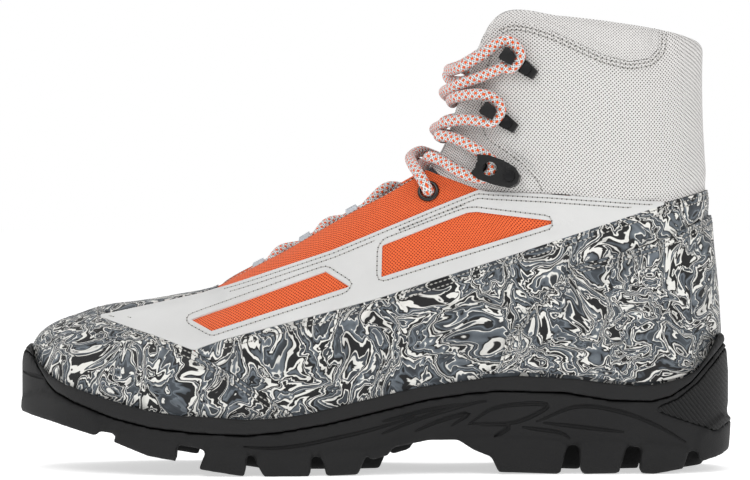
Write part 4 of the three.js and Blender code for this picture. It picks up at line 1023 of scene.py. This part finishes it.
def makeVampMesh(side, word):
    outline = [*shifted(cut(seams["toe"], 0, 3), gap, gap), *shifted(cut(seams["side"], 0, 5), 0, gap), (236, 101),
        (236, 118), *shifted([(225, 118.7), (201, 119.7), (197.8, 120.4), instepCorner], 0, -gap), (160, 150)]
    front = level(0, puff=0.35, turned=True)
    piece = panel("vamp_cloth_" + word, ringSpan(side, ridge, 12.7), (0.0, topRow), front,
        level(layers["panelBack"], turned=True), outline, turned=True, bevel=0)
    wear(piece, "boot", looks["orange"], "orange_mesh", "vamp_mesh_" + word)
    u = np.linspace(4.55, 8.6, 120)
    v = 1 - 1.9 / np.interp(u, girthSteps, girthTable)
    stitchAlong(np.stack([-side * u, v], 1), front, None)


def makeSidePanel(side, word):
    outline = [*flipped(shifted(cut(seams["toe"], 3, 7), 2 * gap, 0)), *shifted(cut(seams["side"], 1, 8), 0, -gap),
        (330, 5), (129, 5)]
    name = "side_print_" + word
    piece = panel(name, ringSpan(side, 2.6, heelSeam), (-0.02, 0.72), level(0, upper["sideRaise"], dip=0.2),
        level(layers["panelBack"]), outline)
    wear(piece, "boot", looks["print"], "printed_film", "side_panel_" + word)
    stitchRows(name, cut(seams["side"], 1, 8), 1.3, 3.4)


def makeAnklePanel(side, word):
    outline = [*seams["ankle"], *shifted(cut(seams["collar"], 2, 13), 0, -gap), (330, 215),
        *flipped(shifted(cut(seams["side"], 5, 8), 0, gap)), (236.2, 101.4), (236.2, 118.4)]
    name = "ankle_cloth_" + word
    piece = panel(name, ringSpan(side, 8, heelSeam), (0.14, topRow), level(0, puff=upper["anklePuff"], turned=True),
        level(layers["panelBack"], turned=True), outline, turned=True)
    wear(piece, "boot", looks["paleMesh"], "pale_mesh", "ankle_panel_" + word)
    stitchRows(name, seams["ankle"], 1.3)
    stitchRows(name, seams["collar"], 1.4, 3.0)


def makeCollarPanel(side, word):
    outline = [*shifted(seams["collar"], -gap, gap), (180, 215)]
    name = "collar_cloth_" + word
    piece = panel(name, ringSpan(side, 9.3, 14.7), (0.55, topRow), level(0, puff=1.1, turned=True),
        level(layers["panelBack"], turned=True), outline, turned=True)
    wear(piece, "boot", looks["collarKnit"], "collar_textile", "collar_panel_" + word)


def makeFacing(side, word):
    outline = [(150, 215), (176.6, 131.4), (187, 119), (228, 112), (228, 215)]
    piece = panel("facing_cloth_" + word, ringSpan(side, 8, 13.4), (0.14, topRow), level(-0.1, turned=True),
        level(-2.9, turned=True), outline, turned=True, bevel=0)
    wear(piece, "boot", looks["paleMesh"], "facing_mesh", "facing_" + word)


def makeStrap(side, word):
    outline = [*seams["strap"], (277, 114.6), *flipped(cut(seams["side"], 0, 5)), (60, 58), (36, 64.8)]
    holes = (seams["frontWindow"], seams["backWindow"])
    name = "strap_leather_" + word
    piece = panel(name, ringSpan(side, ridge, 14.7), (0.0, 0.998), level(layers["overlayFront"], dip=upper["strapDip"]),
        level(layers["overlayBack"]), outline, holes)
    wear(piece, "boot", looks["leather"], "pale_leather", "strap_" + word)
    stitchRows(name, cut(seams["strap"], 1, 9), 1.5, 3.3)
    for hole in holes:
        stitchRows(name, [*hole, hole[0]], 2.0)


def makeVampStrip():
    outline = [(35.6, 90), (36.6, 66.9), *shifted(cut(seams["strap"], 1, 4), 0, 2 * gap), (89, 90)]
    for word, side in sideNames.items():
        piece = panel("vamp_strip_" + word, ringSpan(side, 0.0, 5.4), (0.38, 1.0),
            level(layers["overlayFront"], dip=0.2), level(layers["overlayBack"]), outline)
        wear(piece, "boot", looks["print"], "printed_film", *(["vamp_strip"] if side < 0 else []))


def makeHeelWrap():
    outline = [*cut(seams["wrap"], 1, 10), (330, 60), *flipped(shifted(featherTop, 0, 0.7))]
    piece = panel("heel_wrap_print", (7.4, 2 * heelRib - 7.4), (0.012, 0.72),
        level(layers["overlayFront"], upper["wrapRaise"], dip=0.2), level(layers["overlayBack"]), outline)
    wear(piece, "boot", looks["wrapPrint"], "printed_film", "heel_wrap")
    stitchRows("heel_wrap_print", seams["wrap"], 1.4, 3.2)


def makeLining(side, word):
    def cloth(depth):
        return lambda s, v, within: rolled(s, v, depth - padding(s, v))

    piece = panel("lining_cloth_" + word, ringSpan(side, ridge, heelSeam), (-0.02, topRow),
        cloth(layers["liningFront"]), cloth(layers["liningBack"]), cell=1.3, bevel=0, turned=True)
    wear(piece, "boot", looks["liningKnit"], "lining_textile", "lining_" + word)


makeToeCap()
makeVampStrip()
makeHeelWrap()
for word, side in sideNames.items():
    makeVampMesh(side, word)
    makeSidePanel(side, word)
    makeAnklePanel(side, word)
    makeCollarPanel(side, word)
    makeStrap(side, word)
    makeFacing(side, word)
    makeLining(side, word)
print("upper made")
sewn("upper_stitching", threadRows)
print("stitches sewn", sum(len(row[0]) for row in threadRows))


# the sole

soleLines = {
    "board": [
        (-5, 52), (6, 46), (12, 40), (21, 35), (34, 30.8), (47, 27), (60, 24), (80, 22), (100, 20.6),
        (120, 22.3), (140, 27), (160, 31.4), (180, 35), (200, 37.6), (220, 38.4), (240, 37), (260, 34.6),
        (280, 34.6), (315, 35),
    ],
    "feather": [
        (5.2, 53.4), (8, 47.1), (14.4, 41.6), (20.8, 38.1), (33.6, 33.9), (46.5, 30), (59.4, 27), (72, 25.4),
        (85.1, 24.9), (97.9, 23.9), (110.8, 24.4), (123.6, 26.1), (136.5, 29.1), (149.4, 32.1), (162.2, 35.1),
        (175.1, 37.7), (187.9, 39.4), (200.8, 41.1), (213.6, 41.8), (226.5, 41.1), (239.4, 40.3),
        (252.2, 38.6), (265, 37.5), (273.2, 38.1), (284.8, 40.7), (290.4, 43.9), (293.4, 47.6), (296, 51.9),
        (300.2, 58.6), (302, 58.4),
    ],
    "sidewall": [
        (2.5, 51.4), (5.8, 49.9), (9.2, 44.6), (13.3, 38.1), (16.9, 34.3), (25.5, 30), (42.2, 24),
        (58.5, 20.1), (78.6, 18), (98.8, 17.1), (113.8, 18.6), (133.5, 21.9), (149.8, 25.7), (164.4, 29.1),
        (175.5, 31.7), (195.2, 34.5), (205, 35.1), (232.9, 34.7), (240, 33.4), (253, 31.3), (271, 30.9),
        (278.8, 33), (287.4, 38.6), (295.9, 48), (302.8, 55.4),
    ],
    "roof": [
        (1.8, 25), (15.9, 23), (35, 18.5), (57, 15.5), (80, 11.5), (105, 8.5), (130, 8.2), (150, 9),
        (160, 11.5), (176, 14.6), (190, 14.6), (200, 11.6), (212, 11), (232, 12.4), (260, 12), (287, 9.6),
        (301, 9),
    ],
    "toe": [
        (1.2, 30.9), (0, 34.7), (0.3, 38.1), (1.2, 41.6), (0.8, 43.7), (1.3, 46.3),
    ],
    "heel": [
        (305.5, 22), (304, 24.8), (304.2, 27), (305.8, 30), (306, 40), (304.4, 43.6), (303.8, 50),
    ],
    "plan": [
        (0, 6), (3.5, -10), (12, -23.5), (25, -37), (45, -48), (75, -55.4), (103, -56.8), (130, -54),
        (165, -46.6), (200, -42), (235, -41.2), (265, -41.8), (288, -35.5), (301.5, -21), (306, 0),
        (301.5, 20.5), (288, 34.6), (262, 40.6), (230, 39.2), (195, 36.2), (165, 38.2), (130, 45.2),
        (100, 53.4), (75, 54.2), (45, 50.4), (22, 41.6), (9, 30.5), (2.2, 19),
    ],
}
lugs = [
    ("all", [(1.4, 31), (0.8, 25.3), (1.8, 24.6), (15.9, 21.4), (34.9, 16.3), (37.5, 21.4), (30, 28), (10, 34)]),
    ("row", [(42.2, 14.1), (57.2, 8.3), (68.8, 6.4), (69.5, 16), (44, 18)]),
    ("row", [(78.6, 3), (97.9, 0), (99.2, 14), (82.9, 16)]),
    ("row", [(102.2, 7.3), (106.1, 0), (125.8, 0), (126.2, 14), (104.8, 14)]),
    ("row", [(130.5, 8.1), (132.6, 0), (145.9, 0.4), (149.8, 9.4), (149, 14), (130.5, 14)]),
    ("row", [(150.5, 9), (151.4, 6.4), (158.8, 8.6), (160.5, 11.6), (170, 16), (150.5, 16)]),
    ("row", [(188.4, 14.6), (195, 10.3), (202.5, 7.3), (205.5, 0.9), (231.6, 0), (234.6, 12), (232, 18), (190, 18)]),
    ("row", [(239.8, 11.7), (240.6, 0), (256.5, 0.4), (259.9, 11.6), (258, 17), (240, 17)]),
    ("row", [(266.4, 12.4), (265.5, 0.4), (271.5, 0), (284, 2.1), (286.5, 9.4), (284, 16), (267, 16)]),
    ("all", [(290.4, 9.4), (291.6, 4.7), (300.6, 6.9), (304.7, 9), (306, 22), (302, 24), (291, 16)]),
]
sole = {"centreShift": 9, "centreHalf": 15, "lugReach": 34, "lugProud": 1.2, "groove": 1.05, "stabilizer": 3.4,
    "bandInset": 0.8, "treadVoxel": 0.00108, "heelVoxel": 0.0007, "bandVoxel": 0.00095}
grooves = [
    [(97.6, 12.6), (110, 12), (122, 13.2), (136, 16), (152, 19.5), (170, 24.8)],
    [(156, 17.6), (170.4, 23.4), (185.4, 27.9), (198, 30.9), (200.5, 31)],
    [(156, 22.8), (175.5, 27.5), (190, 30)],
    [(170, 18.5), (180.2, 22.8), (193, 25.8), (185.4, 20.6)],
    [(193, 21.5), (204, 28.2), (226.5, 29.2), (213.8, 22.4), (193, 21.5)],
    [(221.4, 22.3), (239.4, 28.8), (258.6, 26.2), (273.2, 20.4), (285.2, 13.3)],
    [(224.4, 21.9), (241, 20), (258.6, 18)],
    [(197.8, 21), (210.2, 20.6), (196.5, 11.6)],
    [(215.4, 20), (232.9, 17.2), (236, 15)],
    [(2, 41.6), (8, 40.5), (14, 39.4)],
    [(1.5, 30.9), (9, 30.2), (17, 29)],
]


def prism(name, outline, axis, low, high):
    # a flat outline pushed through: axis y for side-view outlines (x, z), z for plan outlines (x, y)
    bm = bmesh.new()
    if axis == "y":
        corners = place([(x, low, z) for x, z in outline])
        push = Vector((0, (high - low) * mm, 0))
    else:
        corners = place([(x, y, low) for x, y in outline])
        push = Vector((0, 0, (high - low) * mm))
    face = bm.faces.new([bm.verts.new(c) for c in corners])
    bmesh.ops.triangulate(bm, faces=[face])
    moved = bmesh.ops.extrude_face_region(bm, geom=bm.faces[:])["geom"]
    bmesh.ops.translate(bm, verts=[g for g in moved if isinstance(g, bmesh.types.BMVert)], vec=push)
    bmesh.ops.recalc_face_normals(bm, faces=bm.faces[:])
    return toObject(bm, name, smooth=False)


def planLine(step=2.0, inset=0.0):
    # the sole's outline in plan, drawn millimetres
    closed = [(x, y, 0) for x, y in soleLines["plan"]]
    n = len(closed)
    line = strung(np.array(closed[-3:] + closed + closed[:4]), step)
    start = int(np.argmin(np.linalg.norm(line - closed[0], axis=1)[:len(line) // 2]))
    stop = len(line) // 2 + int(np.argmin(np.linalg.norm(line[len(line) // 2:] - closed[0], axis=1)))
    line = line[start:stop]
    along = np.roll(line, -1, axis=0) - np.roll(line, 1, axis=0)
    along /= np.linalg.norm(along, axis=1)[:, None]
    return np.stack([line[:, 0] - along[:, 1] * inset, line[:, 1] + along[:, 0] * inset], 1)


def lastBody(name, offset):
    # a closed solid of the lower part of the boot inside the skin, for cutting the sole
    rows, count = 16, 160
    bm = bmesh.new()
    bmesh.ops.create_grid(bm, x_segments=count, y_segments=rows, size=0.5)
    flat = np.array([w.co for w in bm.verts])
    s = (flat[:, 0] + 0.5) * 2 * heelRib
    t = flat[:, 1] + 0.5
    points = place(skin(s, -0.04 + 0.6 * t, offset))
    for w, point in zip(bm.verts, points):
        w.co = point
    bmesh.ops.remove_doubles(bm, verts=bm.verts, dist=1e-6)
    bmesh.ops.holes_fill(bm, edges=[e for e in bm.edges if e.is_boundary], sides=0)
    bmesh.ops.triangulate(bm, faces=[f for f in bm.faces if len(f.verts) > 4])
    bmesh.ops.recalc_face_normals(bm, faces=bm.faces[:])
    return toObject(bm, name)


def duplicate(piece, name):
    other = piece.copy()
    other.data = piece.data.copy()
    other.name = name
    bpy.context.scene.collection.objects.link(other)
    return other


def sideWorm(line, radius, side):
    # a round cutter that follows a side-view line over the sole's side wall
    plan = planLine(2.0, sole["lugProud"])
    plan = plan[plan[:, 1] * side >= 0]
    plan = plan[np.argsort(plan[:, 0])]
    points = strung(np.array([(x, 0, z) for x, z in line]), 1.5)
    points[:, 1] = np.interp(points[:, 0], plan[:, 0], plan[:, 1])
    taper = np.sin(np.linspace(0.12, math.pi - 0.12, len(points))) ** 0.4
    return tube("worm", place(points), radius * mm * taper, 8)


def makeSole():
    body = lastBody("lastBody", 0.3)
    above = [(x, z - 2.1) for x, z in soleLines["board"]]
    space = combined(body, prism("aboveBoard", [*above, (330, 260), (-20, 260)], "y", -90, 90), "INTERSECT")
    profile = [*soleLines["toe"], *shifted(soleLines["sidewall"], 0, -0.2), *flipped(soleLines["heel"]),
        *flipped(soleLines["roof"])]
    tread = combined(prism("tread", profile, "y", -90, 90),
        prism("planBlock", planLine(inset=sole["lugProud"]), "z", -5, 90), "INTERSECT")
    roof = np.array(soleLines["roof"])
    blocks = None
    rows = [(-70, -57 + sole["lugReach"]), (-sole["centreHalf"], sole["centreHalf"]), (57 - sole["lugReach"], 70)]
    for span, shape in lugs:
        low = [(x, min(z, float(np.interp(x, roof[:, 0], roof[:, 1])) + 1.8)) for x, z in shape]
        spans = [(-88, 88)] if span == "all" else rows
        for i, (near, far) in enumerate(spans):
            outline = shape if span == "all" else shifted(low, sole["centreShift"], 0.4) if i == 1 else low
            block = prism("lug", outline, "y", near, far)
            blocks = combined(blocks, block, "UNION") if blocks else block
    combined(blocks, prism("planBlock", planLine(), "z", -5, 90), "INTERSECT")
    combined(tread, blocks, "UNION")
    combined(tread, duplicate(space, "spaceCopy"))
    zone = [(270.9, 27.4), (276, 29.4), (281.8, 31.7), (290.4, 38.4), (297.7, 46.4), (303, 52.6), (320, 60), (320, 20),
        (304.7, 21), (298.5, 17.4)]
    heel = combined(duplicate(tread, "heel_stabilizer_shell"), prism("zone", zone, "y", -90, 90), "INTERSECT")
    combined(heel, prism("core", planLine(inset=sole["stabilizer"]), "z", -6, 91))
    ring = combined(prism("ring", shifted(zone, -0.2, 0.1), "y", -90, 90),
        prism("core", planLine(inset=sole["stabilizer"] + 0.3), "z", -6, 91))
    combined(tread, ring)
    remeshed(tread, sole["treadVoxel"], 2)
    for side in (-1, 1):
        for line in grooves:
            combined(tread, sideWorm(line, sole["groove"], side))
    tread.name = "outsole_rubber"
    wear(smoothByAngle(tread, 42), "boot", looks["rubber"], "tread_rubber", "outsole")
    remeshed(heel, sole["heelVoxel"], 1)
    wear(heel, "boot", looks["ribs"], "heel_plastic", "heel_stabilizer")
    edges = [*shifted(soleLines["sidewall"], 0, 0.25), *flipped(soleLines["feather"])]
    band = prism("midsole_rand", edges, "y", -90, 90)
    combined(band, prism("bandBlock", planLine(inset=sole["bandInset"]), "z", -5, 90), "INTERSECT")
    combined(band, space)
    remeshed(band, sole["bandVoxel"], 2)
    wear(band, "boot", looks["rand"], "rand_rubber", "midsole")


makeSole()
print("sole made")


# the tongue

tongue = {"width": 50, "thickness": 6.5, "depth": 9, "crown": 13, "puff": 0.8, "quilt": 0.9, "start": 0.03,
    "share": 0.95, "clothLength": 0.19}
throatLine = [(85, 77.1), (97.9, 84.6), (115, 94.3), (132, 103.7), (145, 111.9), (158, 118.9), (169, 125.6),
    (178, 132), (184.5, 141), (188, 152), (190.5, 163), (193.4, 174.9), (198.5, 186), (203, 192)]


def throatAt(t):
    # the throat's line in the side view, and its run
    points = np.array(throatLine, float)
    n = len(points)
    k = np.minimum(np.floor(t * (n - 1)).astype(int), n - 2)
    f = (t * (n - 1) - k)[:, None]
    a, b, d, e = points[np.maximum(k - 1, 0)], points[k], points[k + 1], points[np.minimum(k + 2, n - 1)]
    at = b + 0.5 * f * (d - a + f * (2 * a - 5 * b + 4 * d - e + f * (3 * (b - d) + e - a)))
    run = 0.5 * (d - a + 2 * f * (2 * a - 5 * b + 4 * d - e) + 3 * f * f * (3 * (b - d) + e - a))
    return at, run / np.linalg.norm(run, axis=1)[:, None]


def makeTongue():
    rows, columns = 120, 44
    bm = bmesh.new()
    bmesh.ops.create_grid(bm, x_segments=rows, y_segments=columns, size=0.5)
    home = bm.verts.layers.int.new("home")
    uv = bm.loops.layers.uv.new("UVMap")
    under = list(bm.verts)
    flat = np.array([w.co for w in under])
    t, a = tongue["start"] + tongue["share"] * (flat[:, 0] + 0.5), 2 * flat[:, 1]
    for i, w in enumerate(under):
        w[home] = i
    half = tongue["width"] / 2 * (0.62 + 0.38 * smoothStep(t, 0, 0.6))
    for face in bm.faces:
        for corner in face.loops:
            i = corner.vert[home]
            corner[uv].uv = (t[i] * tongue["clothLength"], a[i] * half[i] * mm)
    at, run = throatAt(t)
    inward = np.stack([run[:, 1], -run[:, 0]], 1)
    b = np.clip(2 * (t - tongue["start"]) / tongue["share"] - 1, -1, 1)
    fullness = np.sqrt(np.clip(1 - np.abs(a) ** 7, 0, 1)) * np.sqrt(np.clip(1 - np.abs(b) ** 40, 0, 1))
    channels = tongue["quilt"] * np.exp(-((np.abs(a) - 0.55) / 0.05) ** 2)
    middle = tongue["depth"] + tongue["thickness"] / 2 + tongue["crown"] * a ** 2

    def surface(reach):
        deep = at + inward * (middle + reach)[:, None]
        return place(np.stack([deep[:, 0], a * half + 1.5 * (1 - t), deep[:, 1]], 1))

    top = surface(-fullness * (tongue["thickness"] / 2 + tongue["puff"] * (1 - a ** 2)) + channels * fullness)
    bottom = surface(fullness * tongue["thickness"] / 2)
    moved = bmesh.ops.extrude_face_region(bm, geom=bm.faces[:])["geom"]
    over = [w for w in moved if isinstance(w, bmesh.types.BMVert)]
    for w in over:
        w.co = top[w[home]]
    for w, point in zip(under, bottom):
        w.co = point
    bm.verts.layers.int.remove(home)
    bmesh.ops.remove_doubles(bm, verts=bm.verts, dist=1e-6)
    bmesh.ops.recalc_face_normals(bm, faces=bm.faces[:])
    piece = toObject(bm, "tongue_pad")
    wear(piece, "tongue", looks["tonguePad"], "tongue_textile", "tongue")


makeTongue()
print("tongue made")


# hooks, lace locks, rivets and eyelets: the frame's own shapes with their edges rounded

hardware = {
    "hook_lower": (0.32, "plastic", "hardware"), "hook_upper": (0.32, "plastic", "hardware"),
    "lace_lock": (0.3, "plastic", "hardware"), "eyelet": (0.25, "gloss", "eyelet_plastic"),
    "lock_rivet": (0.3, "rivet", "rivet_metal"), "hook_lower_rivet": (0.3, "rivet", "rivet_metal"),
    "hook_upper_rivet": (0.3, "rivet", "rivet_metal"),
}


def rounded(node, name, width):
    bm = bmesh.new()
    bm.from_mesh(nodes[node].data)
    bmesh.ops.remove_doubles(bm, verts=bm.verts, dist=2e-6)
    bmesh.ops.dissolve_limit(bm, angle_limit=math.radians(4), verts=bm.verts, edges=bm.edges)
    sharp = [e for e in bm.edges if len(e.link_faces) == 2 and e.calc_face_angle(0) > math.radians(38)]
    bmesh.ops.bevel(bm, geom=sharp, offset=width * mm, offset_type="OFFSET", segments=3, profile=0.5, affect="EDGES",
        material=-1, clamp_overlap=True)
    bmesh.ops.triangulate(bm, faces=[f for f in bm.faces if len(f.verts) > 4])
    return smoothByAngle(toObject(bm, name), 40)


for kind, (width, look, slot) in hardware.items():
    for word in sideNames:
        node = f"{kind}_{word}"
        body = node if kind == "lace_lock" else "boot"
        wear(rounded(node, node + "_moulded", width), body, looks[look], slot, node)
print("hardware made")


# kept nodes of the frame get their own finishes

finishes = {
    "shank": "steel", "insole_board": "board", "footbed": "footbed", "toe_puff": "stiffener",
    "heel_counter": "stiffener", "collar_foam_outer": "foam", "collar_foam_inner": "foam", "aglet_1": "aglet",
    "aglet_2": "aglet",
}
for i in (1, 2, 3):
    for word in sideNames:
        finishes[f"lace_loop_{i}_{word}"] = "webbing"


for name, look in finishes.items():
    for slot in nodes[name].material_slots:
        slot.material = looks[look]
print("inner pieces dressed")


# floor and light

studio = {"floor": "f2f2f2", "glow": 0.56, "world": 0.5,
    "lamps": [((-0.5, -0.9, 1.15), (0.9, 0.7), 6.5), ((0.75, -0.75, 0.7), (0.6, 0.9), 3.0),
        ((0.1, 0.55, 1.1), (1.1, 0.6), 4.0), ((-0.9, 0.2, 0.5), (0.5, 0.8), 1.5)]}


def makeFloor():
    bm = bmesh.new()
    bmesh.ops.create_grid(bm, x_segments=8, y_segments=8, size=3.0)
    floor = toObject(bm, "floor")
    paper, tree, shader = newMaterial("floorPaper", studio["floor"], 0.9)
    shader.inputs["Emission Color"].default_value = (1, 1, 1, 1)
    shader.inputs["Emission Strength"].default_value = studio["glow"]
    floor.data.materials.append(paper)


def makeLights():
    world = bpy.data.worlds.new("studioWorld")
    world.use_nodes = True
    tree = world.node_tree
    glow = tree.nodes["Background"]
    glow.inputs["Color"].default_value = (1, 1, 1, 1)
    glow.inputs["Strength"].default_value = studio["world"]
    backdrop = addNode(tree, "Background", {"Color": (1, 1, 1, 1), "Strength": 1.0})
    mix = addNode(tree, "MixShader")
    link(tree, addNode(tree, "LightPath"), "Is Camera Ray", mix, 0)
    link(tree, glow, 0, mix, 1)
    link(tree, backdrop, 0, mix, 2)
    link(tree, mix, 0, tree.nodes["World Output"], "Surface")
    bpy.context.scene.world = world
    for i, (where, size, power) in enumerate(studio["lamps"]):
        data = bpy.data.lights.new(f"softbox{i}", "AREA")
        data.shape, data.size, data.size_y, data.energy = "RECTANGLE", size[0], size[1], power
        lamp = bpy.data.objects.new(f"softbox{i}", data)
        lamp.location = where
        lamp.rotation_mode = "QUATERNION"
        lamp.rotation_quaternion = (Vector((0, 0, 0.08)) - Vector(where)).to_track_quat("-Z", "Y")
        bpy.context.scene.collection.objects.link(lamp)


makeFloor()
makeLights()
bpy.context.scene.view_settings.view_transform = "Standard"
print("stage made")
